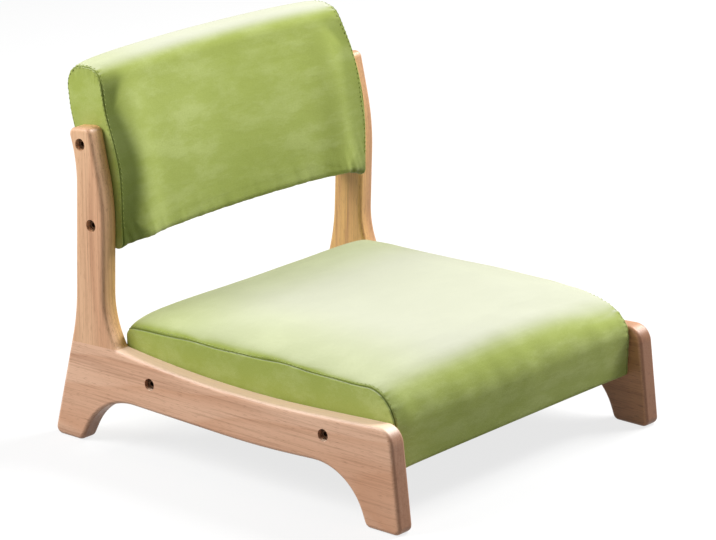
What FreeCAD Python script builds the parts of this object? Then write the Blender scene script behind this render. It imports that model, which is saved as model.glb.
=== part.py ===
import FreeCAD, Part
import math
import os
import re

import Sketcher
from FreeCAD import Placement, Rotation, Vector

# A low floor chair: two bolted wooden side frames, an upholstered seat and a curved backrest.
# Depths run forward from the heel of the rear foot, heights run up from the floor, and the
# front of the chair faces -Y.

doc = FreeCAD.newDocument("floor_chair")

# Driving dimensions in millimetres
SIZES = {
    # Whole chair
    "overall_width": 460.0,
    "rear_reach": 245.0,
    "side_gap": 0.3,
    "overrun": 5.0,
    # Side frame boards
    "board_thickness": 23.0,
    "arris_radius": 4.5,
    "rail_length": 501.5,
    "front_lean": 14.5,
    "rail_front_height": 115.4,
    "rail_front_radius": 20.0,
    "waist_depth": 247.0,
    "waist_height": 101.0,
    "waist_bend_share": 0.84,
    "joint_front_depth": 96.4,
    "joint_front_height": 117.5,
    "joint_rear_height": 115.0,
    "joint_corner_radius": 7.0,
    # Feet and the arch between them
    "foot_radius": 8.0,
    "rear_foot_length": 42.2,
    "rear_arch_depth": 73.4,
    "rear_arch_height": 59.6,
    "rear_arch_radius": 77.0,
    "belly_depth_share": 0.634,
    "belly_height": 53.4,
    "belly_bend_share": 0.37,
    "front_arch_setback": 70.7,
    "front_arch_height": 60.4,
    "front_arch_radius": 69.0,
    "front_foot_length": 47.3,
    # Upright, its curves and its rounded top
    "upright_height": 363.0,
    "top_rear_drop": 4.0,
    "top_front_depth": 62.7,
    "top_rear_depth": 30.6,
    "top_radius": 8.0,
    "flare_depth": 78.6,
    "flare_rise": 31.7,
    "flare_bend_share": 0.80,
    "front_bow_depth": 82.3,
    "front_bow_drop": 83.0,
    "front_bow_radius": 256.0,
    "rear_bow_depth": 42.4,
    "rear_bow_drop": 41.5,
    "rear_bow_bend_share": 0.66,
    "ankle_depth": 36.9,
    "ankle_rise": 29.7,
    "ankle_radius": 246.0,
    # Dowels in the glued joint
    "dowel_radius": 4.0,
    "dowel_length": 40.0,
    "dowel_clearance": 0.1,
    "rear_dowel_depth": 48.0,
    "dowel_spacing": 27.0,
    # Bolts, washers and threaded inserts
    "bolt_radius": 3.0,
    "bolt_length": 30.0,
    "bolt_head_radius": 5.0,
    "bolt_head_height": 6.0,
    "socket_radius": 2.9,
    "socket_depth": 3.5,
    "washer_radius": 6.0,
    "washer_thickness": 1.6,
    "bolt_clearance": 0.3,
    "counterbore_radius": 6.9,
    "counterbore_depth": 12.0,
    "insert_radius": 4.75,
    "insert_length": 15.0,
    "insert_clearance": 0.1,
    "bolt_relief": 3.0,
    # Seat outline at the seams
    "seat_bottom_rise": 2.6,
    "seat_rear_depth": 93.5,
    "seat_front_setback": 28.0,
    "seat_front_lean": 2.0,
    "seat_seam_height": 144.6,
    "seat_middle_setback": 173.5,
    "seat_middle_drop": 0.9,
    "seat_rear_drop": 7.0,
    "seat_rear_lean": 2.0,
    "seat_waterfall_radius": 42.0,
    "seat_top_radius": 2500.0,
    "seat_rear_radius": 9.0,
    "seat_hem_radius": 6.0,
    # Seat crown at the middle, over the seams
    "seat_front_rise": 12.0,
    "seat_middle_rise": 20.4,
    "seat_rear_rise": 17.2,
    "seat_front_swell": 9.0,
    "seat_front_tuck": 2.5,
    "seat_waterfall_growth": 4.0,
    "seat_rear_growth": 9.0,
    "seat_seam_inset": 2.7,
    "seat_end_draw": 2.0,
    # Seat cover, foam and dust cover
    "cover_thickness": 1.5,
    "hem_width": 24.0,
    "dust_cover_thickness": 0.8,
    "dust_cover_margin": 14.0,
    # Seat frame and board
    "frame_rear_inset": 6.5,
    "frame_front_inset": 15.5,
    "frame_height": 44.0,
    "frame_side_width": 22.0,
    "frame_end_width": 22.0,
    "seat_board_thickness": 9.0,
    "corner_block_leg": 38.0,
    "corner_block_height": 26.0,
    "seat_bolt_rise": 33.0,
    "rear_bolt_inset": 47.3,
    "front_bolt_inset": 61.8,
    # Screws that hold the back panel to its posts
    "screw_radius": 2.0,
    "screw_head_radius": 4.0,
    "screw_head_height": 2.4,
    "screw_clearance": 0.1,
    "screw_socket_radius": 1.3,
    "screw_socket_depth": 1.4,
    "panel_screw_length": 22.0,
    "panel_screw_start": 24.0,
    "panel_screw_spacing": 86.0,
    # Bolts that hold the back
    "upper_bolt_drop": 20.4,
    "upper_bolt_depth": 49.8,
    "back_bolt_spacing": 89.2,
    "lower_bolt_depth": 63.7,
    # Back outline at the seams
    "back_bottom_drop": 24.6,
    "back_top_rise": 77.9,
    "back_front_bottom_depth": 91.0,
    "back_front_bend_depth": 88.0,
    "back_front_bend_drop": 19.6,
    "back_front_bend_share": 0.76,
    "back_front_top_depth": 44.5,
    "back_rear_top_depth": 1.5,
    "back_rear_bend_depth": 34.5,
    "back_rear_bend_rise": 46.6,
    "back_rear_bend_radius": 350.0,
    "back_rear_bottom_depth": 39.0,
    "back_top_front_radius": 15.0,
    "back_top_rear_radius": 17.0,
    "back_hem_radius": 8.0,
    # Back curve in plan and its crown over the seams
    "back_sag": 15.0,
    "back_front_crown": 7.0,
    "back_rear_crown": 2.0,
    "back_top_crown": 2.5,
    "back_top_arch": 1.0,
    "back_bottom_arch": 1.5,
    "back_seam_inset": 6.7,
    "back_end_front_draw": 8.0,
    "back_end_top_draw": 4.0,
    "back_end_rear_draw": 3.0,
    "back_end_bottom_draw": 2.0,
    # Back frame: curved panel and end posts
    "back_panel_thickness": 9.0,
    "back_panel_bottom": 13.0,
    "back_panel_height": 166.0,
    "post_width": 24.0,
    "post_depth": 24.0,
    "post_bottom": 14.0,
    "post_height": 134.0,
    "post_end_skin": 1.2,
}

# Places worked out from the driving dimensions
PLACES = {
    "half_width": "overall_width / 2",
    "inner_half": "overall_width / 2 - board_thickness",
    "cushion_half": "inner_half - side_gap",
    "rail_front_depth": "rail_length - front_lean",
    "front_foot_depth": "rail_length - front_foot_length",
    "front_arch_depth": "rail_length - front_arch_setback",
    "arch_run": "front_arch_depth - rear_arch_depth",
    "belly_depth": "rear_arch_depth + belly_depth_share * arch_run",
    "belly_rear_slope": "(rear_arch_height - belly_height) / (belly_depth - rear_arch_depth)",
    "belly_front_slope": "(front_arch_height - belly_height) / (front_arch_depth - belly_depth)",
    "belly_bend": "belly_bend_share * (front_arch_depth - belly_depth)",
    "belly_radius": "2 * belly_bend / (belly_rear_slope + belly_front_slope)",
    "waist_rear_slope": "(joint_front_height - waist_height) / (waist_depth - joint_front_depth)",
    "waist_front_slope": "(rail_front_height - waist_height) / (rail_front_depth - waist_depth)",
    "waist_bend": "waist_bend_share * (waist_depth - joint_front_depth)",
    "waist_radius": "2 * waist_bend / (waist_rear_slope + waist_front_slope)",
    "flare_height": "joint_front_height + flare_rise",
    "ankle_height": "joint_front_height + ankle_rise",
    "front_bow_height": "upright_height - front_bow_drop",
    "rear_bow_height": "upright_height - rear_bow_drop",
    "top_rear_height": "upright_height - top_rear_drop",
    "flare_setback": "joint_front_depth - flare_depth",
    "flare_lean": "(front_bow_depth - flare_depth) / (front_bow_height - flare_height)",
    "flare_bend": "flare_bend_share * sqrt(flare_setback ^ 2 + flare_rise ^ 2)",
    "flare_radius": "flare_bend / tan((atan(flare_setback / flare_rise) + atan(flare_lean)) / 2)",
    "rear_bow_run": "rear_bow_depth - top_rear_depth",
    "rear_bow_fall": "rear_bow_drop - top_rear_drop",
    "rear_bow_lean": "(rear_bow_depth - ankle_depth) / (rear_bow_height - ankle_height)",
    "rear_bow_bend": "rear_bow_bend_share * sqrt(rear_bow_run ^ 2 + rear_bow_fall ^ 2)",
    "rear_bow_radius":
        "rear_bow_bend / tan((atan(rear_bow_run / rear_bow_fall) + atan(rear_bow_lean)) / 2)",
    "joint_rear_depth": "joint_rear_height * ankle_depth / ankle_height",
    "joint_slope": "(joint_front_height - joint_rear_height) / (joint_front_depth - joint_rear_depth)",
    "block_front_depth": "rail_length + overrun",
    "block_front_height": "joint_front_height + (block_front_depth - joint_front_depth) * joint_slope",
    "block_rear_height": "joint_rear_height - (joint_rear_depth + overrun) * joint_slope",
    "counterbore_floor": "half_width - counterbore_depth",
    "bolt_seat": "counterbore_floor + washer_thickness",
    "bolt_hole_radius": "bolt_radius + bolt_clearance",
    "insert_hole_radius": "insert_radius + insert_clearance",
    "dowel_hole_radius": "dowel_radius + dowel_clearance",
    "screw_hole_radius": "screw_radius + screw_clearance",
    "seat_bottom": "belly_height + seat_bottom_rise",
    "seat_front_depth": "rail_length - seat_front_setback",
    "seat_middle_depth": "seat_front_depth - seat_middle_setback",
    "seat_seam_half": "cushion_half - seat_seam_inset",
    "frame_rear_depth": "seat_rear_depth + frame_rear_inset",
    "frame_front_depth": "seat_front_depth - frame_front_inset",
    "frame_bottom": "seat_bottom + cover_thickness",
    "frame_top": "frame_bottom + frame_height",
    "board_top": "frame_top + seat_board_thickness",
    "frame_inner_half": "seat_seam_half - frame_side_width",
    "frame_middle_depth": "(frame_rear_depth + frame_front_depth) / 2",
    "seat_bolt_height": "seat_bottom + seat_bolt_rise",
    "rear_bolt_depth": "frame_rear_depth + rear_bolt_inset",
    "front_bolt_depth": "frame_front_depth - front_bolt_inset",
    "upper_bolt_height": "upright_height - upper_bolt_drop",
    "lower_bolt_height": "upper_bolt_height - back_bolt_spacing",
    "back_bottom": "lower_bolt_height - back_bottom_drop",
    "back_top": "upper_bolt_height + back_top_rise",
    "back_front_bend_height": "upper_bolt_height - back_front_bend_drop",
    "back_rear_bend_height": "lower_bolt_height + back_rear_bend_rise",
    "back_front_lower_rise": "back_front_bend_height - back_bottom",
    "back_front_lower_lean": "(back_front_bottom_depth - back_front_bend_depth) / back_front_lower_rise",
    "back_front_upper_lean":
        "(back_front_bend_depth - back_front_top_depth) / (back_top - back_front_bend_height)",
    "back_front_bend": "back_front_bend_share * back_front_lower_rise",
    "back_front_bend_radius":
        "back_front_bend / tan((atan(back_front_upper_lean) - atan(back_front_lower_lean)) / 2)",
    "back_seam_half": "cushion_half - back_seam_inset",
    "post_outer_half": "cushion_half - post_end_skin",
    "panel_inner_radius": "(back_seam_half ^ 2 + back_sag ^ 2) / (2 * back_sag)",
    "panel_outer_radius": "panel_inner_radius + back_panel_thickness",
    "panel_axis_offset": "post_depth / 2 + back_sag - panel_inner_radius",
}

# Where a cushion's sections stand, as shares of the way from its middle to its seam
STATION_SHARES = (0.0, 0.3, 0.55, 0.75, 0.88, 0.96, 1.0)

# How squarely the crown of each cushion falls away towards its seams
SEAT_FRONT_POWER = 3
SEAT_MIDDLE_POWER = 5
SEAT_REAR_POWER = 8
BACK_CROWN_POWER = 8

PANEL_SCREWS_PER_POST = 2
QUARTER_TURN = 90
HALF_TURN = 180
LEAST_FLATNESS = 0.999


def formula(text, own=()):
    """Returns an expression in which each size's name is preceded by its sheet's name."""
    def with_sheet(match):
        word = match.group(0)
        if word in own:
            return word
        if word in SIZES:
            return "Sizes." + word
        if word in PLACES:
            return "Places." + word
        return word
    return re.sub(r"[a-z_]+", with_sheet, text)


def make_sheet(name, cells):
    """Adds a spreadsheet with a name and a value or formula in each row."""
    sheet = doc.addObject("Spreadsheet::Sheet", name)
    for row, (alias, content) in enumerate(cells.items(), start=1):
        sheet.set("A%d" % row, alias)
        sheet.set("B%d" % row, content)
        sheet.setAlias("B%d" % row, alias)
    doc.recompute()
    return sheet


sizes_sheet = make_sheet("Sizes", {alias: str(value) for alias, value in SIZES.items()})
places_sheet = make_sheet("Places", {a: "=" + formula(f, own=PLACES) for a, f in PLACES.items()})


def size(alias):
    """Returns the number in the cell with this alias."""
    sheet = sizes_sheet if alias in SIZES else places_sheet
    return float(sheet.get(alias))


def bind(item, **expressions):
    """Binds properties of an object to formulas in named sizes."""
    for name, text in expressions.items():
        item.setExpression(name, formula(text))
    return item


def bind_place(item, x=None, y=None, z=None):
    """Binds the base point of an object to formulas in named sizes."""
    for axis, text in (("x", x), ("y", y), ("z", z)):
        if text is not None:
            item.setExpression("Placement.Base." + axis, formula(text))
    return item


def at(x, depth, height):
    """Returns the point at this distance across, depth forward of the heel and height."""
    return Vector(x, size("rear_reach") - depth, height)


# Outlines of straight runs and rounded corners


def corner_arc(before, corner, after, radius):
    """Returns where a rounded corner starts, its middle, its end, its centre and its turn."""
    incoming = (corner - before).normalize()
    outgoing = (after - corner).normalize()
    turn = incoming.getAngle(outgoing)
    reach = radius * math.tan(turn / 2)
    start = corner - incoming * reach
    end = corner + outgoing * reach
    inward = (outgoing - incoming).normalize()
    centre = corner + inward * (radius / math.cos(turn / 2))
    middle = centre - inward * radius
    left_turn = incoming.x * outgoing.y - incoming.y * outgoing.x > 0
    return start, middle, end, centre, left_turn


def outline_sketch(body, name, plane_role, corners):
    """Adds a closed sketch of lines and tangent arcs, each corner and radius bound to a size.

    corners is a list of (across, up, radius) formulas, anticlockwise, with radius None when sharp.
    """
    plane = next(f for f in body.Origin.OriginFeatures if f.Role == plane_role)
    sketch = body.newObject("Sketcher::SketchObject", name)
    sketch.AttachmentSupport = [(plane, "")]
    sketch.MapMode = "FlatFace"
    scratch = doc.addObject("Spreadsheet::Sheet", "corner_values")
    points = []
    radii = []
    for row, (across, up, radius) in enumerate(corners, start=1):
        for column, text in zip("ABC", (across, up, radius or "0")):
            scratch.set("%s%d" % (column, row), "=" + formula(text))
    scratch.recompute()
    for row in range(1, len(corners) + 1):
        values = [float(scratch.get("%s%d" % (column, row))) for column in "ABC"]
        points.append(Vector(values[0], values[1], 0))
        radii.append(values[2])
    doc.removeObject(scratch.Name)

    count = len(points)
    arcs = []
    for i in range(count):
        arcs.append(corner_arc(points[i - 1], points[i], points[(i + 1) % count], radii[i]))
    lines = []
    for i in range(count):
        run = Part.LineSegment(arcs[i][2], arcs[(i + 1) % count][0])
        lines.append(sketch.addGeometry(run, False))
    for i in range(count):
        start, middle, end, centre, left_turn = arcs[i]
        line_in = lines[i - 1]
        line_out = lines[i]
        across, up, radius = corners[i]
        if radius is None:
            sketch.addConstraint(Sketcher.Constraint("Coincident", line_in, 2, line_out, 1))
            held = (line_out, 1)
        else:
            first, last = (start, end) if left_turn else (end, start)
            angles = [math.atan2(p.y - centre.y, p.x - centre.x) for p in (first, last)]
            circle = Part.Circle(centre, Vector(0, 0, 1), radii[i])
            arc = sketch.addGeometry(Part.ArcOfCircle(circle, angles[0], angles[1]), False)
            point = sketch.addGeometry(Part.Point(points[i]), True)
            arc_in, arc_out = (1, 2) if left_turn else (2, 1)
            sketch.addConstraint([
                Sketcher.Constraint("Tangent", line_in, 2, arc, arc_in),
                Sketcher.Constraint("Tangent", line_out, 1, arc, arc_out),
                Sketcher.Constraint("PointOnObject", point, 1, line_in),
                Sketcher.Constraint("PointOnObject", point, 1, line_out),
            ])
            held = (point, 1)
            index = sketch.addConstraint(Sketcher.Constraint("Radius", arc, radii[i]))
            sketch.setExpression("Constraints[%d]" % index, formula(radius))
        for kind, axis, text, value in (
                ("DistanceX", -2, across, points[i].x), ("DistanceY", -1, up, points[i].y)):
            if text == "0":
                sketch.addConstraint(Sketcher.Constraint("PointOnObject", held[0], held[1], axis))
            else:
                rule = Sketcher.Constraint(kind, -1, 1, held[0], held[1], value)
                index = sketch.addConstraint(rule)
                sketch.setExpression("Constraints[%d]" % index, formula(text))
    return sketch


def side_board(name, corners, thickness, outer):
    """Returns a body cut from a board that stands across X.

    The sketch runs forward along depth and up; outer is how far its outer face is from the middle.
    """
    body = doc.addObject("PartDesign::Body", name)
    sketch = outline_sketch(body, name + "_outline", "XZ_Plane", corners)
    pad = body.newObject("PartDesign::Pad", name + "_pad")
    pad.Profile = sketch
    pad.Reversed = True
    bind(pad, Length=thickness)
    body.Placement = Placement(Vector(0, 0, 0), Rotation(Vector(0, 0, 1), -QUARTER_TURN))
    bind_place(body, x="-(%s)" % outer, y="rear_reach")
    doc.recompute()
    return body


def round_arrises(body, radius):
    """Rounds the outline of a board on both of its faces, and leaves its bores sharp."""
    base = body.Tip
    names = []
    for face in base.Shape.Faces:
        flat = face.Surface.TypeId == "Part::GeomPlane" and abs(face.normalAt(0, 0).y) > LEAST_FLATNESS
        if flat and len(face.OuterWire.Edges) > 1:
            for edge in face.OuterWire.Edges:
                for number, candidate in enumerate(base.Shape.Edges, start=1):
                    if candidate.isSame(edge):
                        names.append("Edge%d" % number)
    fillet = body.newObject("PartDesign::Fillet", body.Name + "_arrises")
    fillet.Base = (base, names)
    bind(fillet, Radius=radius)
    doc.recompute()
    return fillet


def bore_board(body, name, places, radius, depth):
    """Bores round holes into a board from its outer face; depth None goes right through."""
    plane = next(f for f in body.Origin.OriginFeatures if f.Role == "XZ_Plane")
    sketch = body.newObject("Sketcher::SketchObject", name + "_circles")
    sketch.AttachmentSupport = [(plane, "")]
    sketch.MapMode = "FlatFace"
    for across, up in places:
        centre = Vector(size(across), size(up), 0)
        circle = sketch.addGeometry(Part.Circle(centre, Vector(0, 0, 1), size(radius)), False)
        for kind, text, value in (("DistanceX", across, centre.x), ("DistanceY", up, centre.y)):
            index = sketch.addConstraint(Sketcher.Constraint(kind, -1, 1, circle, 3, value))
            sketch.setExpression("Constraints[%d]" % index, formula(text))
        index = sketch.addConstraint(Sketcher.Constraint("Radius", circle, size(radius)))
        sketch.setExpression("Constraints[%d]" % index, formula(radius))
    before = body.Tip.Shape.Volume
    pocket = body.newObject("PartDesign::Pocket", name)
    pocket.Profile = sketch
    if depth is None:
        pocket.Type = "ThroughAll"
    else:
        bind(pocket, Length=depth)
    doc.recompute()
    if not pocket.Shape.Volume < before:
        raise RuntimeError(name + " cuts nothing")
    return pocket


# Plain solids, booleans and sets


def box(name, length, width, height, x, y, z):
    """Returns a box along the axes, its three sides and lowest corner bound to formulas."""
    solid = doc.addObject("Part::Box", name)
    bind(solid, Length=length, Width=width, Height=height)
    return bind_place(solid, x, y, z)


def drill(name, radius, length, placements):
    """Returns a set of cylinders of a bound radius and length, one at each placement."""
    rods = []
    for number, placement in enumerate(placements, start=1):
        rod = doc.addObject("Part::Cylinder", "%s_%d" % (name, number))
        bind(rod, Radius=radius, Height=length)
        rod.Placement = placement
        rods.append(rod)
    group = doc.addObject("Part::Compound", name)
    group.Links = rods
    return group


def joined(name, tools):
    """Returns a compound of several tools, for one cut."""
    group = doc.addObject("Part::Compound", name)
    group.Links = tools
    return group


def cut(name, base, tool):
    """Returns base with tool taken away."""
    result = doc.addObject("Part::Cut", name)
    result.Base = base
    result.Tool = tool
    return result


def common(name, base, tool):
    """Returns what base and tool share."""
    result = doc.addObject("Part::Common", name)
    result.Base = base
    result.Tool = tool
    return result


def mirrored(name, source):
    """Returns the right-hand twin of a left-hand piece."""
    result = doc.addObject("Part::Mirroring", name)
    result.Source = source
    result.Base = Vector(0, 0, 0)
    result.Normal = Vector(1, 0, 0)
    return result


def fastener_set(name, template, placements):
    """Returns copies of one fastener, a separate solid at each placement."""
    doc.recompute()
    result = doc.addObject("Part::Feature", name)
    copies = []
    for placement in placements:
        one = template.Shape.copy()
        one.Placement = placement
        copies.append(one)
    result.Shape = Part.makeCompound(copies)
    return result


def turned_part(name, *steps):
    """Returns a body built of stacked cylinders, cones and prisms along its own Z axis.

    Each step is (kind, bottom formula or None for zero, {property: formula}).
    """
    body = doc.addObject("PartDesign::Body", name)
    for number, (kind, bottom, properties) in enumerate(steps, start=1):
        step = body.newObject("PartDesign::" + kind, "%s_step_%d" % (name, number))
        bind(step, **properties)
        if bottom is not None:
            bind_place(step, z=bottom)
    doc.recompute()
    return body


OUT_LEFT = Rotation(Vector(0, 1, 0), -QUARTER_TURN)
OUT_RIGHT = Rotation(Vector(0, 1, 0), QUARTER_TURN)


def both_sides(distance, depth_heights):
    """Returns placements whose Z points outwards, on both sides at this distance across."""
    placements = []
    for depth, height in depth_heights:
        placements.append(Placement(at(-distance, depth, height), OUT_LEFT))
        placements.append(Placement(at(distance, depth, height), OUT_RIGHT))
    return placements


def left_only(placements):
    """Returns the placements on the left side of the chair."""
    return [placement for placement in placements if placement.Base.x < 0]


# Cushion sections and lofts


def inset(corners, amounts):
    """Returns the corners of an outline moved inwards, one amount for each side.

    Side i runs from corner i to the next one; a corner's radius shrinks or grows to stay even.
    """
    count = len(corners)
    sides = []
    for i in range(count):
        start = Vector(corners[i][0], corners[i][1], 0)
        end = Vector(corners[(i + 1) % count][0], corners[(i + 1) % count][1], 0)
        along = (end - start).normalize()
        inward = Vector(-along.y, along.x, 0)
        sides.append((start + inward * amounts[i], along))
    moved = []
    for i in range(count):
        origin, along = sides[i - 1]
        next_origin, next_along = sides[i]
        turn = along.x * next_along.y - along.y * next_along.x
        offset = next_origin - origin
        travel = (offset.x * next_along.y - offset.y * next_along.x) / turn
        meeting = origin + along * travel
        amount = min(amounts[i - 1], amounts[i])
        radius = corners[i][2] - math.copysign(amount, turn)
        moved.append((meeting.x, meeting.y, radius))
    return moved


def section(x, corners):
    """Returns the closed wire of an upright section of a cushion, across the chair at x."""
    count = len(corners)
    points = [Vector(depth, height, 0) for depth, height, radius in corners]
    arcs = []
    for i in range(count):
        arcs.append(corner_arc(points[i - 1], points[i], points[(i + 1) % count], corners[i][2]))
    edges = []
    for i in range(count):
        start, middle, end = [at(x, p.x, p.y) for p in arcs[i][:3]]
        following = arcs[(i + 1) % count][0]
        edges.append(Part.Arc(start, middle, end).toShape())
        edges.append(Part.LineSegment(end, at(x, following.x, following.y)).toShape())
    return Part.Wire(edges)


def crown_share(station, power):
    """Returns how full a cushion is at a station: 1 in its middle, falling to 0 at its seam."""
    return math.sqrt(1 - station ** power)


def cushion_loft(seam_half, corners_at, amounts=None):
    """Returns the solid between a cushion's two seams; corners_at gives a station's section."""
    stations = [-share for share in reversed(STATION_SHARES)] + list(STATION_SHARES[1:])
    wires = []
    for station in stations:
        corners = corners_at(abs(station))
        if amounts is not None:
            corners = inset(corners, amounts)
        wires.append(section(seam_half * station, corners))
    return Part.makeLoft(wires, True, True)


def soft_feature(name, shape):
    """Adds a cushion piece whose form is a loft through sections."""
    piece = doc.addObject("Part::Feature", name)
    piece.Shape = shape
    return piece


# Side frames

# Outline of the blank: foot, arch, foot, rail, upright and back down to the heel
blank_corners = [
    ("0", "0", "foot_radius"),
    ("rear_foot_length", "0", "foot_radius"),
    ("rear_arch_depth", "rear_arch_height", "rear_arch_radius"),
    ("belly_depth", "belly_height", "belly_radius"),
    ("front_arch_depth", "front_arch_height", "front_arch_radius"),
    ("front_foot_depth", "0", "foot_radius"),
    ("rail_length", "0", "foot_radius"),
    ("rail_front_depth", "rail_front_height", "rail_front_radius"),
    ("waist_depth", "waist_height", "waist_radius"),
    ("joint_front_depth", "joint_front_height", "joint_corner_radius"),
    ("flare_depth", "flare_height", "flare_radius"),
    ("front_bow_depth", "front_bow_height", "front_bow_radius"),
    ("top_front_depth", "upright_height", "top_radius"),
    ("top_rear_depth", "top_rear_height", "top_radius"),
    ("rear_bow_depth", "rear_bow_height", "rear_bow_radius"),
    ("ankle_depth", "ankle_height", "ankle_radius"),
]
blank = side_board("side_blank", blank_corners, "board_thickness", "half_width")

bolt_places = [
    ("rear_bolt_depth", "seat_bolt_height"),
    ("front_bolt_depth", "seat_bolt_height"),
    ("lower_bolt_depth", "lower_bolt_height"),
    ("upper_bolt_depth", "upper_bolt_height"),
]
bore_board(blank, "counterbores", bolt_places, "counterbore_radius", "counterbore_depth")
bore_board(blank, "bolt_holes", bolt_places, "bolt_hole_radius", None)
round_arrises(blank, "arris_radius")

block_corners = [
    ("-overrun", "-overrun", None),
    ("block_front_depth", "-overrun", None),
    ("block_front_depth", "block_front_height", None),
    ("-overrun", "block_rear_height", None),
]
block = side_board(
    "joint_block", block_corners, "board_thickness + 2 * overrun", "half_width + overrun")

board_middle = size("half_width") - size("board_thickness") / 2
dowel_depths = [size("rear_dowel_depth"), size("rear_dowel_depth") + size("dowel_spacing")]
dowel_places = []
for dowel_depth in dowel_depths:
    along_joint = dowel_depth - size("joint_rear_depth")
    joint_height = size("joint_rear_height") + size("joint_slope") * along_joint
    dowel_bottom = joint_height - size("dowel_length") / 2
    for side in (-1, 1):
        dowel_places.append(Placement(at(side * board_middle, dowel_depth, dowel_bottom), Rotation()))
dowel_holes = drill("dowel_holes", "dowel_hole_radius", "dowel_length", left_only(dowel_places))

left_rail = cut("left_side_rail", common("rail_blank", blank, block), dowel_holes)
left_upright = cut("left_upright", cut("upright_blank", blank, block), dowel_holes)
right_rail = mirrored("right_side_rail", left_rail)
right_upright = mirrored("right_upright", left_upright)
dowels = drill("upright_dowels", "dowel_radius", "dowel_length", dowel_places)

# Bolts, washers and inserts

bolt = turned_part(
    "bolt_template",
    ("AdditiveCylinder", "-bolt_length", {"Radius": "bolt_radius", "Height": "bolt_length"}),
    ("AdditiveCylinder", None, {"Radius": "bolt_head_radius", "Height": "bolt_head_height"}),
    ("SubtractivePrism", "bolt_head_height - socket_depth",
     {"Circumradius": "socket_radius", "Height": "socket_depth + overrun"}))
washer = turned_part(
    "washer_template",
    ("AdditiveCylinder", "-washer_thickness", {"Radius": "washer_radius", "Height": "washer_thickness"}),
    ("SubtractiveCylinder", "-washer_thickness - overrun",
     {"Radius": "bolt_hole_radius", "Height": "washer_thickness + 2 * overrun"}))
insert = turned_part(
    "insert_template",
    ("AdditiveCylinder", "-insert_length", {"Radius": "insert_radius", "Height": "insert_length"}),
    ("SubtractiveCylinder", "-insert_length - overrun",
     {"Radius": "bolt_radius + insert_clearance", "Height": "insert_length + 2 * overrun"}))

seat_bolt_points = [
    (size("rear_bolt_depth"), size("seat_bolt_height")),
    (size("front_bolt_depth"), size("seat_bolt_height")),
]
back_bolt_points = [
    (size("lower_bolt_depth"), size("lower_bolt_height")),
    (size("upper_bolt_depth"), size("upper_bolt_height")),
]
fasteners = {}
for owner, points, start in (
        ("seat", seat_bolt_points, "seat_seam_half"), ("back", back_bolt_points, "post_outer_half")):
    head_places = both_sides(size("bolt_seat"), points)
    insert_places = both_sides(size(start), points)
    for kind, template, places in (
            ("_bolts", bolt, head_places), ("_washers", washer, head_places),
            ("_inserts", insert, insert_places)):
        fasteners[owner + kind] = fastener_set(owner + kind, template, places)


def insert_bores(name, points, start):
    """Returns the bores for a cushion's inserts, with a narrower relief for each bolt's tip."""
    flipped = Rotation(Vector(1, 0, 0), HALF_TURN)
    into = []
    for place in both_sides(size(start) + size("overrun"), points):
        into.append(Placement(place.Base, place.Rotation * flipped))
    wide = drill(name + "_wide", "insert_hole_radius", "insert_length + overrun", into)
    narrow = drill(
        name + "_narrow", "bolt_hole_radius", "insert_length + overrun + bolt_relief", into)
    return joined(name, [wide, narrow])


seat_insert_bores = insert_bores("seat_insert_bores", seat_bolt_points, "seat_seam_half")
back_insert_bores = insert_bores("back_insert_bores", back_bolt_points, "post_outer_half")

# Seat frame and the board glued on top of it

side_blank_box = box(
    "seat_side_blank", "frame_side_width", "frame_front_depth - frame_rear_depth", "frame_height",
    "-seat_seam_half", "rear_reach - frame_front_depth", "frame_bottom")
seat_left_rail = cut("seat_left_rail", side_blank_box, seat_insert_bores)
seat_right_rail = mirrored("seat_right_rail", seat_left_rail)
seat_front_rail = box(
    "seat_front_rail", "2 * frame_inner_half", "frame_end_width", "frame_height",
    "-frame_inner_half", "rear_reach - frame_front_depth", "frame_bottom")
seat_rear_rail = box(
    "seat_rear_rail", "2 * frame_inner_half", "frame_end_width", "frame_height",
    "-frame_inner_half", "rear_reach - frame_rear_depth - frame_end_width", "frame_bottom")
seat_board = box(
    "seat_board", "2 * seat_seam_half", "frame_front_depth - frame_rear_depth",
    "seat_board_thickness", "-seat_seam_half", "rear_reach - frame_front_depth", "frame_top")

# Triangular blocks glued into the corners of the seat frame
corner_block = doc.addObject("PartDesign::Body", "corner_block_template")
corner_block_corners = [
    ("0", "0", None),
    ("corner_block_leg", "0", None),
    ("0", "corner_block_leg", None),
]
corner_block_outline = outline_sketch(
    corner_block, "corner_block_outline", "XY_Plane", corner_block_corners)
corner_block_pad = corner_block.newObject("PartDesign::Pad", "corner_block_pad")
corner_block_pad.Profile = corner_block_outline
bind(corner_block_pad, Length="corner_block_height")
block_rear = size("frame_rear_depth") + size("frame_end_width")
block_front = size("frame_front_depth") - size("frame_end_width")
block_height = size("frame_top") - size("corner_block_height")
corner_places = []
corners_in_turn = ((-1, block_front), (1, block_front), (1, block_rear), (-1, block_rear))
for turns, (side, depth) in enumerate(corners_in_turn):
    corner = at(side * size("frame_inner_half"), depth, block_height)
    corner_places.append(Placement(corner, Rotation(Vector(0, 0, 1), turns * QUARTER_TURN)))
corner_blocks = fastener_set("seat_corner_blocks", corner_block, corner_places)

# Seat cushion


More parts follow.
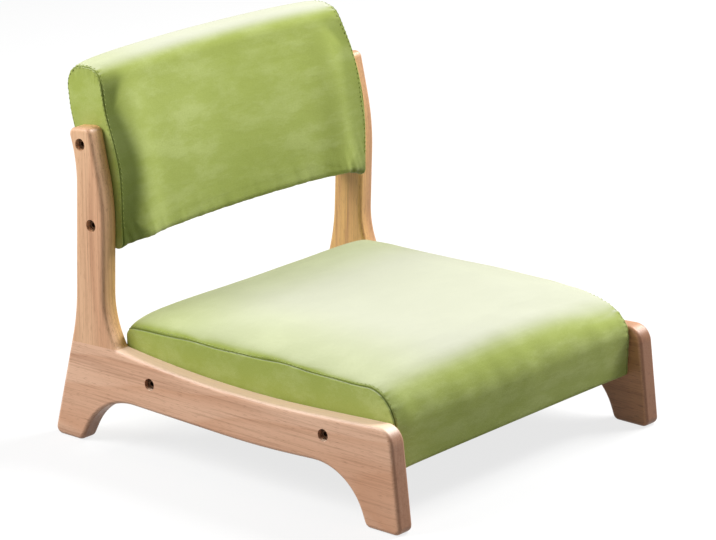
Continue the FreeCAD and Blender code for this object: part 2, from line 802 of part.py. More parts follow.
def seat_corners(station):
    """Returns the seat's section at a station: its seam outline, raised by that station's crowns."""
    front_crown = crown_share(station, SEAT_FRONT_POWER)
    middle_crown = crown_share(station, SEAT_MIDDLE_POWER)
    rear_crown = crown_share(station, SEAT_REAR_POWER)
    seam = size("seat_seam_height")
    front = size("seat_front_depth")
    return [
        (size("seat_rear_depth"), size("seat_bottom"), size("seat_hem_radius")),
        (front - size("seat_front_tuck") * front_crown, size("seat_bottom"), size("seat_hem_radius")),
        (front + size("seat_front_lean") + size("seat_front_swell") * front_crown,
         seam + size("seat_front_rise") * front_crown,
         size("seat_waterfall_radius") + size("seat_waterfall_growth") * front_crown),
        (size("seat_middle_depth"),
         seam - size("seat_middle_drop") + size("seat_middle_rise") * middle_crown,
         size("seat_top_radius")),
        (size("seat_rear_depth") - size("seat_rear_lean"),
         seam - size("seat_rear_drop") + size("seat_rear_rise") * rear_crown,
         size("seat_rear_radius") + size("seat_rear_growth") * rear_crown),
    ]


def side_pad(seam_half, end_half, seam_corners, draws, side):
    """Returns the padded side of a cushion, drawn in from its seam to its flat outer face."""
    seam_wire = section(side * seam_half, seam_corners)
    end_wire = section(side * end_half, inset(seam_corners, draws))
    return Part.makeLoft([seam_wire, end_wire], True, True)


cover = size("cover_thickness")
seat_seam_corners = seat_corners(1)
seat_outer = soft_feature("seat_outer_form", cushion_loft(
    size("seat_seam_half"), seat_corners))
seat_inner = soft_feature("seat_inner_form", cushion_loft(
    size("seat_seam_half"), seat_corners, [cover] * len(seat_seam_corners)))
frame_space = box(
    "seat_frame_space", "2 * seat_seam_half + 2 * overrun", "frame_front_depth - frame_rear_depth",
    "board_top - seat_bottom + overrun", "-seat_seam_half - overrun", "rear_reach - frame_front_depth",
    "seat_bottom - overrun")
seat_foam = cut("seat_foam", seat_inner, frame_space)
hem_opening = box(
    "seat_hem_opening", "2 * seat_seam_half + 2 * overrun",
    "seat_front_depth - seat_rear_depth - 2 * hem_width", "cover_thickness + overrun",
    "-seat_seam_half - overrun", "rear_reach - seat_front_depth + hem_width", "seat_bottom - overrun")
seat_cover = cut("seat_cover", seat_outer, joined("seat_cover_space", [seat_inner, hem_opening]))

seat_draw = size("seat_end_draw")
seat_draws = [0, seat_draw, seat_draw, seat_draw, 0]
gusset_bores = drill(
    "seat_gusset_bores", "bolt_hole_radius", "frame_side_width + seat_seam_inset + overrun",
    left_only(both_sides(size("frame_inner_half"), seat_bolt_points)))
seat_gusset_form = soft_feature("seat_gusset_form", side_pad(
    size("seat_seam_half"), size("cushion_half"), seat_seam_corners, seat_draws, -1))
seat_left_gusset = cut("seat_left_gusset", seat_gusset_form, gusset_bores)
seat_right_gusset = mirrored("seat_right_gusset", seat_left_gusset)
dust_cover = box(
    "seat_dust_cover", "2 * seat_seam_half - 2 * dust_cover_margin",
    "seat_front_depth - seat_rear_depth - 2 * dust_cover_margin", "dust_cover_thickness",
    "-seat_seam_half + dust_cover_margin", "rear_reach - seat_front_depth + dust_cover_margin",
    "seat_bottom - dust_cover_thickness")

# Back frame, built along the line through the two bolts of a side

lean = math.atan2(size("lower_bolt_depth") - size("upper_bolt_depth"), size("back_bolt_spacing"))
lean_frame = Placement(
    at(0, size("lower_bolt_depth"), size("lower_bolt_height")),
    Rotation(Vector(1, 0, 0), -math.degrees(lean)))


def leaning_box(name, length, width, height, x, y, z):
    """Returns a box in the back's own leaning frame, with its lowest corner at (x, y, z)."""
    solid = doc.addObject("Part::Box", name)
    bind(solid, Length=length, Width=width, Height=height)
    solid.Placement = lean_frame.multiply(Placement(Vector(x, y, z), Rotation()))
    return solid


def leaning_cylinder(name, radius, height, y, z):
    """Returns an upright cylinder in the back's own leaning frame."""
    solid = doc.addObject("Part::Cylinder", name)
    bind(solid, Radius=radius, Height=height)
    solid.Placement = lean_frame.multiply(Placement(Vector(0, y, z), Rotation()))
    return solid


panel_low = -size("back_panel_bottom")
axis_offset = size("panel_axis_offset")
panel_front_space = leaning_cylinder(
    "panel_front_space", "panel_inner_radius", "back_panel_height + 2 * overrun", axis_offset,
    panel_low - size("overrun"))
panel_rear_form = leaning_cylinder(
    "panel_rear_form", "panel_outer_radius", "back_panel_height", axis_offset, panel_low)
panel_window = leaning_box(
    "panel_window", "2 * back_seam_half", "post_depth / 2 + back_sag + back_panel_thickness + overrun",
    "back_panel_height", -size("back_seam_half"), 0, panel_low)
panel_blank = cut("panel_blank", common("panel_band", panel_rear_form, panel_window), panel_front_space)

panel_screw = turned_part(
    "panel_screw_template",
    ("AdditiveCylinder", "-panel_screw_length",
     {"Radius": "screw_radius", "Height": "panel_screw_length"}),
    ("AdditiveCone", "-screw_head_height",
     {"Radius1": "screw_radius", "Radius2": "screw_head_radius", "Height": "screw_head_height"}),
    ("SubtractivePrism", "-screw_socket_depth",
     {"Circumradius": "screw_socket_radius", "Height": "screw_socket_depth + overrun"}))
panel_screw_hole = turned_part(
    "panel_screw_hole",
    ("AdditiveCylinder", "-panel_screw_length",
     {"Radius": "screw_hole_radius", "Height": "panel_screw_length + overrun"}),
    ("AdditiveCone", "-screw_head_height",
     {"Radius1": "screw_hole_radius", "Radius2": "screw_head_radius + screw_clearance",
      "Height": "screw_head_height"}))
panel_screw_x = size("post_outer_half") - size("post_width") / 2
panel_screw_y = axis_offset + math.sqrt(size("panel_outer_radius") ** 2 - panel_screw_x ** 2)
panel_screw_places = []
for side in (-1, 1):
    for number in range(PANEL_SCREWS_PER_POST):
        screw_z = size("panel_screw_start") + number * size("panel_screw_spacing")
        base = Vector(side * panel_screw_x, panel_screw_y, screw_z)
        local = Placement(base, Rotation(Vector(1, 0, 0), -QUARTER_TURN))
        panel_screw_places.append(lean_frame.multiply(local))
back_panel_screws = fastener_set("back_panel_screws", panel_screw, panel_screw_places)
panel_screw_bores = fastener_set("panel_screw_bores", panel_screw_hole, panel_screw_places)
back_panel = cut("back_panel", panel_blank, panel_screw_bores)

post_box = leaning_box(
    "post_box", "post_width", "post_depth + back_sag", "post_height",
    -size("post_outer_half"), -size("post_depth") / 2, -size("post_bottom"))
post_blank = common("post_blank", post_box, panel_front_space)
back_bores = joined("back_bores", [back_insert_bores, panel_screw_bores])
back_left_post = cut("back_left_post", post_blank, back_bores)
back_right_post = mirrored("back_right_post", back_left_post)
right_post_blank = mirrored("right_post_blank", post_blank)

# Back cushion


def back_corners(station):
    """Returns the back's section at a station: its seam outline, moved by its curve and crown."""
    crown = crown_share(station, BACK_CROWN_POWER)
    nearness = 1 - station ** 2
    front = size("back_front_crown") * crown - size("back_sag") * nearness
    rear = -size("back_rear_crown") * crown - size("back_sag") * nearness
    low = size("back_bottom") + size("back_bottom_arch") * nearness
    high = size("back_top") + size("back_top_crown") * crown + size("back_top_arch") * nearness
    return [
        (size("back_rear_bottom_depth") + rear, low, size("back_hem_radius")),
        (size("back_front_bottom_depth") + front, low, size("back_hem_radius")),
        (size("back_front_bend_depth") + front, size("back_front_bend_height"),
         size("back_front_bend_radius")),
        (size("back_front_top_depth") + front, high, size("back_top_front_radius")),
        (size("back_rear_top_depth") + rear, high, size("back_top_rear_radius")),
        (size("back_rear_bend_depth") + rear, size("back_rear_bend_height"),
         size("back_rear_bend_radius")),
    ]


back_seam_corners = back_corners(1)
back_outer = soft_feature("back_outer_form", cushion_loft(
    size("back_seam_half"), back_corners))
back_inner = soft_feature("back_inner_form", cushion_loft(
    size("back_seam_half"), back_corners, [cover] * len(back_seam_corners)))
back_cover = cut("back_cover", back_outer, back_inner)
back_frame_space = joined("back_frame_space", [panel_blank, post_blank, right_post_blank])
back_foam = cut("back_foam", back_inner, back_frame_space)
back_draws = [
    size("back_end_bottom_draw"), size("back_end_front_draw"), size("back_end_front_draw"),
    size("back_end_top_draw"), size("back_end_rear_draw"), size("back_end_rear_draw")]
back_end_form = soft_feature("back_end_form", side_pad(
    size("back_seam_half"), size("cushion_half"), back_seam_corners, back_draws, -1))
back_end_bores = drill(
    "back_end_bores", "bolt_hole_radius", "post_width + overrun",
    left_only(both_sides(size("inner_half") - size("post_width"), back_bolt_points)))
back_end_tools = joined("back_end_tools", [post_blank, back_end_bores])
back_left_end = cut("back_left_end_panel", back_end_form, back_end_tools)
back_right_end = mirrored("back_right_end_panel", back_left_end)

# The pieces of the chair, each written to its own file

PIECES = {
    "left_side_rail": left_rail,
    "right_side_rail": right_rail,
    "left_upright": left_upright,
    "right_upright": right_upright,
    "upright_dowels": dowels,
    "seat_bolts": fasteners["seat_bolts"],
    "seat_washers": fasteners["seat_washers"],
    "seat_inserts": fasteners["seat_inserts"],
    "back_bolts": fasteners["back_bolts"],
    "back_washers": fasteners["back_washers"],
    "back_inserts": fasteners["back_inserts"],
    "seat_left_rail": seat_left_rail,
    "seat_right_rail": seat_right_rail,
    "seat_front_rail": seat_front_rail,
    "seat_rear_rail": seat_rear_rail,
    "seat_corner_blocks": corner_blocks,
    "seat_board": seat_board,
    "seat_foam": seat_foam,
    "seat_cover": seat_cover,
    "seat_left_gusset": seat_left_gusset,
    "seat_right_gusset": seat_right_gusset,
    "seat_dust_cover": dust_cover,
    "back_panel": back_panel,
    "back_left_post": back_left_post,
    "back_right_post": back_right_post,
    "back_panel_screws": back_panel_screws,
    "back_foam": back_foam,
    "back_cover": back_cover,
    "back_left_end_panel": back_left_end,
    "back_right_end_panel": back_right_end,
}

doc.recompute()
for item in doc.Objects:
    if "Invalid" in item.State or "Error" in item.State:
        raise RuntimeError("%s did not recompute: %s" % (item.Name, item.State))
for node, piece in PIECES.items():
    if piece.Shape.isNull() or not piece.Shape.isValid() or not piece.Shape.Solids:
        raise RuntimeError(node + " has no valid solid")

os.makedirs("parts", exist_ok=True)
for node, piece in PIECES.items():
    piece.Label = node
    piece.Shape.exportStep("parts/%s.step" % node)
    reach = piece.Shape.BoundBox
    lengths = "%6.1f x %6.1f x %6.1f" % (reach.XLength, reach.YLength, reach.ZLength)
    print("%-22s %2d solids  %s" % (node, len(piece.Shape.Solids), lengths))
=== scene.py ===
import logging
import math
from abc import ABC, abstractmethod
from dataclasses import dataclass, field
from enum import Enum

import bpy
import numpy as np
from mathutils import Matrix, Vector


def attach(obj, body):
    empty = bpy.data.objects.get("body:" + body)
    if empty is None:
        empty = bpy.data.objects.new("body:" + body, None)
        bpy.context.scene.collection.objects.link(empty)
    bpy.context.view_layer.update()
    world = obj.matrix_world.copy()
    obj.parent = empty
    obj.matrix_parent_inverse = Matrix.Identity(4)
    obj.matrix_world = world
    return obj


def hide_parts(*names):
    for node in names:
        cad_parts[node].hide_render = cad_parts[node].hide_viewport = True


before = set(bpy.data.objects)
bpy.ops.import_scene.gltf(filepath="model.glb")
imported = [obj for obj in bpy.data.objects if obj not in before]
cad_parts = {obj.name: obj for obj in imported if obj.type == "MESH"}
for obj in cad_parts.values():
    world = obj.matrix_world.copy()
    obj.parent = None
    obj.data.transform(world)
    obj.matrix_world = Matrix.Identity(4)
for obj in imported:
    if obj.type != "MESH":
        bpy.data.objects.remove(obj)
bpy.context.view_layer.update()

BODY = "root"
# The rear feet's ends stand at this y, and depths are measured forwards from it
HEEL_Y = 0.245

Colour = tuple[float, float, float, float]
Place = tuple[float, float, float]
Steps = tuple[int, ...]
Socket = bpy.types.NodeSocket
Value = Socket | float
Tint = Socket | Colour

WHITE: Colour = (1.0, 1.0, 1.0, 1.0)

log = logging.getLogger("floor_chair")


def srgb(red: int, green: int, blue: int) -> Colour:
    """Turns a colour as a screen shows it, 0 to 255, into the linear colour that shaders use.

    Args:
        red: Red on the screen.
        green: Green on the screen.
        blue: Blue on the screen.

    Returns:
        The linear colour, with an alpha of 1.
    """
    channels = np.array([red, green, blue]) / 255
    low = channels / 12.92
    high = ((channels + 0.055) / 1.055) ** 2.4
    linear = np.where(channels <= 0.04045, low, high)
    return (*[float(channel) for channel in linear], 1.0)


class Run(Enum):
    """The direction in which the grain of a piece of timber runs, in the chair's frame.

    Each has the number of its axis and the turn that lays the timber pattern's X along it.
    """

    WIDTH = (0, (0.0, 0.0, 0.0))
    DEPTH = (1, (0.0, 0.0, math.pi / 2))
    UPRIGHT = (2, (0.0, math.pi / 2, 0.0))

    def __init__(self, axis: int, turn: Place) -> None:
        """Takes the axis and the turn."""
        self.axis = axis
        self.turn = turn


# Shader building


class Shader:
    """A node tree with short calls to add and join its nodes."""

    def __init__(self, tree: bpy.types.NodeTree) -> None:
        """Takes the tree that nodes are added to."""
        self.tree = tree

    @classmethod
    def of(cls, owner: bpy.types.Material | bpy.types.World) -> "Shader":
        """Empties the node tree of a material or world.

        Args:
            owner: The material or world.

        Returns:
            Its tree as a shader.
        """
        owner.use_nodes = True
        owner.node_tree.nodes.clear()
        return cls(owner.node_tree)

    def add(self, kind: str, settings: dict | None = None, **inputs: object) -> bpy.types.Node:
        """Adds a node, sets its own settings and fills or links its inputs.

        Args:
            kind: The node's type, without the words ShaderNode before it.
            settings: Properties of the node itself, such as its operation.
            **inputs: A value or an output socket for each input. An underscore stands for a blank
                in its name, and i0, i1 and so on name an input by its place.

        Returns:
            The new node.
        """
        node = self.tree.nodes.new("ShaderNode" + kind)
        for name, value in (settings or {}).items():
            setattr(node, name, value)
        for name, value in inputs.items():
            by_place = name[0] == "i" and name[1:].isdigit()
            socket = node.inputs[int(name[1:]) if by_place else name.replace("_", " ")]
            if isinstance(value, Socket):
                self.tree.links.new(value, socket)
            else:
                socket.default_value = value
        return node

    def math(self, operation: str, *values: Value) -> Socket:
        """Adds a Math node on one to three values or sockets and returns its output."""
        inputs = {"i%d" % place: value for place, value in enumerate(values)}
        return self.add("Math", {"operation": operation}, **inputs).outputs[0]

    def mix(self, factor: Value, first: Tint, second: Tint) -> Socket:
        """Mixes two colours by a factor and returns the mixed colour."""
        return self.add("Mix", {"data_type": "RGBA"}, i0=factor, i6=first, i7=second).outputs[2]

    def noise(self, vector: Socket, scale: Value, detail: float = 2.0,
              rough: float = 0.5) -> Socket:
        """Adds a noise texture on a vector and returns its grey value."""
        node = self.add("TexNoise", Vector=vector, Scale=scale, Detail=detail, Roughness=rough)
        return node.outputs[0]

    def remap(self, value: Socket, low: float, high: float, to_low: float = 0.0,
              to_high: float = 1.0) -> Socket:
        """Stretches a range of a value over another range, smoothly and clamped.

        Args:
            value: The value.
            low: Where its range starts.
            high: Where its range ends.
            to_low: The result at the start.
            to_high: The result at the end.

        Returns:
            The stretched value.
        """
        node = self.add("MapRange", {"interpolation_type": "SMOOTHSTEP"},
                        i0=value, i1=low, i2=high, i3=to_low, i4=to_high)
        return node.outputs[0]

    def scaled(self, vector: Socket, scales: Place) -> Socket:
        """Multiplies each part of a vector by its own scale."""
        return self.add("VectorMath", {"operation": "MULTIPLY"}, i0=vector, i1=scales).outputs[0]

    def parts(self, vector: Socket) -> tuple[Socket, ...]:
        """Returns the three parts of a vector."""
        return tuple(self.add("SeparateXYZ", i0=vector).outputs)

    def facing(self) -> tuple[Socket, ...]:
        """Returns the three parts of the surface's normal, in the object's axes."""
        return self.parts(self.add("TexCoord").outputs["Normal"])

    def bump(self, height: Socket, strength: float, distance: float, **inputs: Socket) -> Socket:
        """Adds a Bump node on a height and returns the bent normal."""
        node = self.add("Bump", Strength=strength, Distance=distance, Height=height, **inputs)
        return node.outputs[0]

    def put_out(self, result: bpy.types.Node, **sockets: Socket) -> bpy.types.NodeTree:
        """Joins sockets to a group's outputs.

        Args:
            result: The group's output node.
            **sockets: The socket for each output, by its name.

        Returns:
            The group.
        """
        for label, socket in sockets.items():
            self.tree.links.new(socket, result.inputs[label])
        return self.tree

    def finish(self, **inputs: object) -> None:
        """Adds the Principled BSDF with its inputs and joins it to the material's output."""
        self.add("OutputMaterial", Surface=self.add("BsdfPrincipled", **inputs).outputs[0])


def new_group(name: str, inputs: dict[str, float | None],
              outputs: tuple[str, ...]) -> tuple[Shader, bpy.types.Node, bpy.types.Node]:
    """Starts a node group with named inputs and outputs.

    Args:
        name: The group's name.
        inputs: The usual value of each input, or None for a vector.
        outputs: The outputs' names, all of them plain values.

    Returns:
        The group's shader, its input node and its output node.
    """
    tree = bpy.data.node_groups.new(name, "ShaderNodeTree")
    for label, usual in inputs.items():
        kind = "NodeSocketVector" if usual is None else "NodeSocketFloat"
        socket = tree.interface.new_socket(label, in_out="INPUT", socket_type=kind)
        if usual is not None:
            socket.default_value = usual
    for label in outputs:
        tree.interface.new_socket(label, in_out="OUTPUT", socket_type="NodeSocketFloat")
    return Shader(tree), tree.nodes.new("NodeGroupInput"), tree.nodes.new("NodeGroupOutput")


class SharedEffects:
    """The node groups that several finishes use, each built once."""

    # How fine each noise of the timber is per metre, along the grain and across it twice
    BEND = (0.25, 1.0, 1.0)
    BROAD_STREAKS = (2.6, 62.0, 62.0)
    FINE_STREAKS = (5.0, 190.0, 190.0)
    FIBRES = (9.0, 520.0, 520.0)
    PORES = (85.0, 1500.0, 1500.0)
    TONE = (2.0, 16.0, 16.0)
    # How the cloth's brushed patches are drawn out, by axis
    BRUSHED = (0.6, 1.0, 1.6)

    def __init__(self) -> None:
        """Builds the groups."""
        self.grain = self._timber_grain()
        self.nap = self._cloth_nap()

    def _timber_grain(self) -> bpy.types.NodeTree:
        """Builds the pattern of timber whose grain runs along the vector's X.

        The rings are the distance from a pith that lies beside the board and leans a little, bent
        by slow noise, over the ring spacing; what is left over after whole rings is the band.
        Streaks, fibres, pores and tone are noises drawn out along the grain.

        Returns:
            The group.
        """
        shader, source, result = new_group(
            "timber_grain",
            {"Vector": None, "Ring spacing": 0.006, "Pith across": 0.03, "Pith deep": 0.02,
             "Lean": 0.05, "Waviness": 0.01},
            ("Rings", "Streaks", "Fibres", "Pores", "Tone"))
        given = source.outputs
        vector = given["Vector"]
        bend = shader.noise(shader.scaled(vector, self.BEND), scale=9.0, detail=2.0)
        bend = shader.math("MULTIPLY", shader.math("SUBTRACT", bend, 0.5), given["Waviness"])
        along, across, deep = shader.parts(vector)
        leaning = shader.math("MULTIPLY", along, given["Lean"])
        across = shader.math("ADD", shader.math("ADD", across, leaning), given["Pith across"])
        deep = shader.math("ADD", deep, given["Pith deep"])
        squares = shader.math("ADD", shader.math("POWER", across, 2.0),
                              shader.math("POWER", deep, 2.0))
        distance = shader.math("ADD", shader.math("SQRT", squares), bend)
        band = shader.math("FRACT", shader.math("DIVIDE", distance, given["Ring spacing"]))
        late = shader.math("POWER", band, 3.0)
        rings = shader.math("MAXIMUM", late, shader.remap(band, 0.0, 0.12, to_low=1.0, to_high=0.0))

        def stretched(scales: Place, detail: float, rough: float = 0.5) -> Socket:
            """Returns noise that is drawn out along the grain."""
            return shader.noise(shader.scaled(vector, scales), 1.0, detail, rough)

        broad = stretched(self.BROAD_STREAKS, 3.0, 0.6)
        fine = stretched(self.FINE_STREAKS, 3.0, 0.62)
        streaks = shader.math("MULTIPLY", shader.math("ADD", broad, fine), 0.5)
        fibres = stretched(self.FIBRES, 3.0, 0.6)
        pores = shader.remap(stretched(self.PORES, 1.0), 0.61, 0.72)
        tone = stretched(self.TONE, 2.0, 0.55)
        return shader.put_out(result, Rings=rings, Streaks=streaks, Fibres=fibres, Pores=pores,
                              Tone=tone)

    def _cloth_nap(self) -> bpy.types.NodeTree:
        """Builds the pattern of short pile.

        Its fine fuzz, brushed patches and broad unevenness are noises of three sizes.

        Returns:
            The group.
        """
        shader, source, result = new_group(
            "cloth_nap", {"Vector": None, "Fuzz scale": 1400.0, "Patch scale": 26.0},
            ("Fuzz", "Patches", "Broad"))
        given = source.outputs
        vector = given["Vector"]
        fuzz = shader.noise(vector, given["Fuzz scale"], detail=2.0, rough=0.65)
        patches = shader.noise(shader.scaled(vector, self.BRUSHED), given["Patch scale"],
                               detail=4.0, rough=0.62)
        broad = shader.noise(vector, scale=6.0, detail=1.0, rough=0.5)
        return shader.put_out(result, Fuzz=fuzz, Patches=patches, Broad=broad)


effects = SharedEffects()


def new_material(name: str) -> tuple[bpy.types.Material, Shader, Socket]:
    """Starts a material with an empty node tree.

    Args:
        name: The material's name.

    Returns:
        The material, its shader and its object coordinates.
    """
    material = bpy.data.materials.new(name)
    shader = Shader.of(material)
    return material, shader, shader.add("TexCoord").outputs["Object"]


@dataclass(frozen=True)
class Timber:
    """Timber with rings, streaks and pores and darker end grain, raw or under a clear lacquer.
    The end grain's darkening doubles as painted shade, and painted highlight and bounce light can
    be added.

    Attributes:
        name: The material's name.
        pale: The wood between its rings.
        deep: The rings and the deeper zones.
        streak: Streaks, fibres, pores and end grain.
        run: The direction of the grain.
        offset: The place in the endless pattern from which the piece is cut.
        ring_spacing: The rings' distance.
        pith_across: How far the pith lies beside the piece, across the grain.
        pith_deep: The same in the other direction across the grain.
        lean: How far the pith leans, per metre of grain.
        waviness: How far slow noise bends the rings.
        ring_strength: The share of the deep colour in a ring.
        end_grain_and_painted_shade: The share of the streak colour on end grain, which is darker
            and also stands in for painted shade on faces that look along the grain.
        painted_bounce_light: A painted golden bounce light towards the side frame's inner face, if
            any.
        painted_top_highlight: A painted highlight where the surface looks up, if any.
        lacquer: The clear coat's weight.
        roughness: The wood's roughness.
    """

    name: str
    pale: Colour
    deep: Colour
    streak: Colour
    run: Run
    offset: Place = (0.0, 0.0, 0.0)
    ring_spacing: float = 0.006
    pith_across: float = 0.03
    pith_deep: float = 0.02
    lean: float = 0.05
    waviness: float = 0.012
    ring_strength: float = 0.4
    end_grain_and_painted_shade: float = 0.4
    painted_bounce_light: Colour | None = None
    painted_top_highlight: Colour | None = None
    lacquer: float = 0.12
    roughness: float = 0.5

    # From the side frame's inner face outwards, where the painted golden bounce light starts and
    # ends to fade
    BOUNCE_LIGHT_FADE = (0.2085, 0.2275)
    # The range of the streaks' and fibres' noise over which their colour comes in
    STREAK_RANGE = (0.48, 0.72)

    def build(self) -> bpy.types.Material:
        """Builds the material, its grain laid along the piece's run.

        The pale wood turns deeper with the slow tone and in the rings, and takes a painted golden
        bounce light towards the inner face. Streaks, fibres and pores take the streak colour, a
        painted highlight lightens faces that look up, and grain that is cut across takes the streak
        colour, partly as painted shade.

        Returns:
            The material.
        """
        material, shader, place = new_material(self.name)
        laid = shader.add("Mapping", Vector=place, Location=self.offset, Rotation=self.run.turn)
        grain = shader.add("Group", {"node_tree": effects.grain}, Vector=laid.outputs[0],
                           Ring_spacing=self.ring_spacing, Pith_across=self.pith_across,
                           Pith_deep=self.pith_deep, Lean=self.lean, Waviness=self.waviness)
        rings, streaks, fibres, pores, tone = grain.outputs[:5]
        body = shader.mix(shader.remap(tone, 0.35, 0.7, to_high=0.6), self.pale, self.deep)
        # Painted bounce light: a golden tone towards the upright's inner face.
        if self.painted_bounce_light:
            sides = shader.math("ABSOLUTE", shader.parts(place)[0])
            inner = shader.remap(sides, *self.BOUNCE_LIGHT_FADE, to_low=0.95, to_high=0.0)
            body = shader.mix(inner, body, self.painted_bounce_light)
        body = shader.mix(shader.math("MULTIPLY", rings, self.ring_strength), body, self.deep)
        for mask in (shader.remap(streaks, *self.STREAK_RANGE, to_high=0.6),
                     shader.remap(fibres, *self.STREAK_RANGE, to_high=0.32),
                     shader.math("MULTIPLY", pores, 0.5)):
            body = shader.mix(mask, body, self.streak)
        facing = shader.facing()
        # Painted highlight: faces that look up turn towards a paler colour.
        if self.painted_top_highlight:
            top_highlight_mask = shader.remap(facing[2], 0.45, 0.95, to_high=0.6)
            body = shader.mix(top_highlight_mask, body, self.painted_top_highlight)
        # End grain darkens towards the streak colour; where the share is high this is also painted
        # shade.
        cut = shader.math("ABSOLUTE", facing[self.run.axis])
        body = shader.mix(shader.remap(cut, 0.35, 0.9, to_high=self.end_grain_and_painted_shade), body, self.streak)
        relief = shader.math("SUBTRACT", shader.math("MULTIPLY", fibres, 0.25), pores)
        rough = shader.remap(fibres, 0.2, 0.8, self.roughness - 0.06, self.roughness + 0.08)
        shader.finish(Base_Color=body, Roughness=rough,
                      Normal=shader.bump(relief, strength=0.12, distance=0.0006),
                      Coat_Weight=self.lacquer, Coat_Roughness=0.28)
        return material


@dataclass(frozen=True)
class NappedCloth:
    """Suede-like cloth whose short pile is paler in brushed patches, with a painted highlight and
    painted shade.

    The painted highlight lies on faces that look up, less so at the left margin and at the seat's
    rear.

    Attributes:
        name: The material's name.
        colour: The pile as it lies.
        brushed: The pile's brushed patches.
        shaded: Its darker patches and fuzz.
        painted_shade_colour: The painted shade's colour, where the attribute painted_shade_amount
            asks for it.
        wear_and_painted_highlight: The painted highlight's pale tone on faces that look up.
        sheen: The sheen's weight.
        sheen_tint: The sheen's colour.
        roughness: The cloth's roughness.
    """

    name: str
    colour: Colour
    brushed: Colour
    shaded: Colour
    painted_shade_colour: Colour = srgb(62, 78, 4)
    wear_and_painted_highlight: Colour = srgb(188, 188, 181)
    sheen: float = 0.45
    sheen_tint: Colour = (1.0, 1.0, 0.64, 1.0)
    roughness: float = 0.85

    # Where the painted highlight comes in from the left margin, and its share at the margin
    LEFT_MARGIN = (-0.20, -0.06)
    LEFT_SHARE = 0.62
    # Where it fades over the seat's rear and is back on the backrest, and its share between them
    SEAT_REAR = (0.02, 0.13)
    BACKREST = (0.155, 0.175)
    REAR_SHARE = 0.6

    def build(self) -> bpy.types.Material:
        """Builds the material.

        Patches and fuzz mix the three pile colours. A painted highlight comes in with the square of
        how far the surface looks up, and painted shade with the attribute painted_shade_amount.

        Returns:
            The material.
        """
        material, shader, place = new_material(self.name)
        nap = shader.add("Group", {"node_tree": effects.nap}, Vector=place)
        fuzz, patches, broad = nap.outputs[:3]
        body = shader.mix(shader.remap(patches, 0.40, 0.66, to_high=0.9), self.colour, self.brushed)
        body = shader.mix(shader.remap(broad, 0.35, 0.7, 0.35, 0.0), body, self.shaded)
        body = shader.mix(shader.remap(fuzz, 0.3, 0.7, 0.40, 0.0), body, self.shaded)
        # Painted highlight: faces that look up turn towards a pale tone, less at the left margin
        # and at the seat's rear.
        painted_highlight = shader.remap(shader.facing()[2], 0.5, 1.0, to_high=0.9)
        across, along = shader.parts(place)[:2]
        seat_rear = shader.remap(along, *self.SEAT_REAR, to_low=1.0, to_high=self.REAR_SHARE)
        backrest = shader.remap(along, *self.BACKREST, to_low=self.REAR_SHARE)
        highlight_share = shader.math("MULTIPLY", shader.remap(across, *self.LEFT_MARGIN, self.LEFT_SHARE),
                           shader.math("MAXIMUM", seat_rear, backrest))
        painted_highlight = shader.math("MULTIPLY", shader.math("MULTIPLY", painted_highlight, painted_highlight), highlight_share)
        body = shader.mix(painted_highlight, body, self.wear_and_painted_highlight)
        # Painted shade: seam grooves, rolled ends and hems darken by the attribute
        # painted_shade_amount.
        seam = shader.add("Attribute", {"attribute_name": "painted_shade_amount"}).outputs["Fac"]
        body = shader.mix(shader.math("MULTIPLY", seam, 0.8), body, self.painted_shade_colour)
        pile = shader.bump(fuzz, strength=0.25, distance=0.0004)
        soft = shader.bump(patches, strength=0.22, distance=0.003, Normal=pile)
        rough = shader.remap(patches, 0.3, 0.7, self.roughness + 0.05, self.roughness - 0.07)
        shader.finish(Base_Color=body, Roughness=rough, Normal=soft, Sheen_Weight=self.sheen,
                      Sheen_Roughness=0.42, Sheen_Tint=self.sheen_tint, Specular_IOR_Level=0.12)
        return material


@dataclass(frozen=True)
class Steel:
    """Plated steel with fine unevenness and a worn tone here and there."""

    name: str
    colour: Colour
    wear_and_painted_highlight: Colour
    roughness: float

    def build(self) -> bpy.types.Material:
        """Builds the material, in which a noise mixes in the worn tone and makes it rougher.

        Returns:
            The material.
        """
        material, shader, place = new_material(self.name)
        wear = shader.noise(place, scale=320.0, detail=3.0, rough=0.6)
        body = shader.mix(shader.remap(wear, 0.52, 0.7, to_high=0.7), self.colour, self.wear_and_painted_highlight)
        fine = shader.noise(place, scale=2600.0, detail=2.0)
        rough = shader.remap(wear, 0.3, 0.7, self.roughness, self.roughness + 0.18)
        shader.finish(Base_Color=body, Metallic=1.0, Roughness=rough,
                      Normal=shader.bump(fine, strength=0.08, distance=0.0002))
        return material


@dataclass(frozen=True)
class CushionFoam:
    """Open-cell upholstery foam."""

    name: str
    colour: Colour
    cell: Colour

    def build(self) -> bpy.types.Material:
        """Builds the material, whose cells are darker and deeper near their middles.

        Returns:
            The material.
        """
        material, shader, place = new_material(self.name)
        cells = shader.add("TexVoronoi", Vector=place, Scale=900.0).outputs["Distance"]
        body = shader.mix(shader.remap(cells, 0.1, 0.6), self.cell, self.colour)
        shader.finish(Base_Color=body, Roughness=0.95,
                      Normal=shader.bump(cells, strength=0.4, distance=0.0008))
        return material


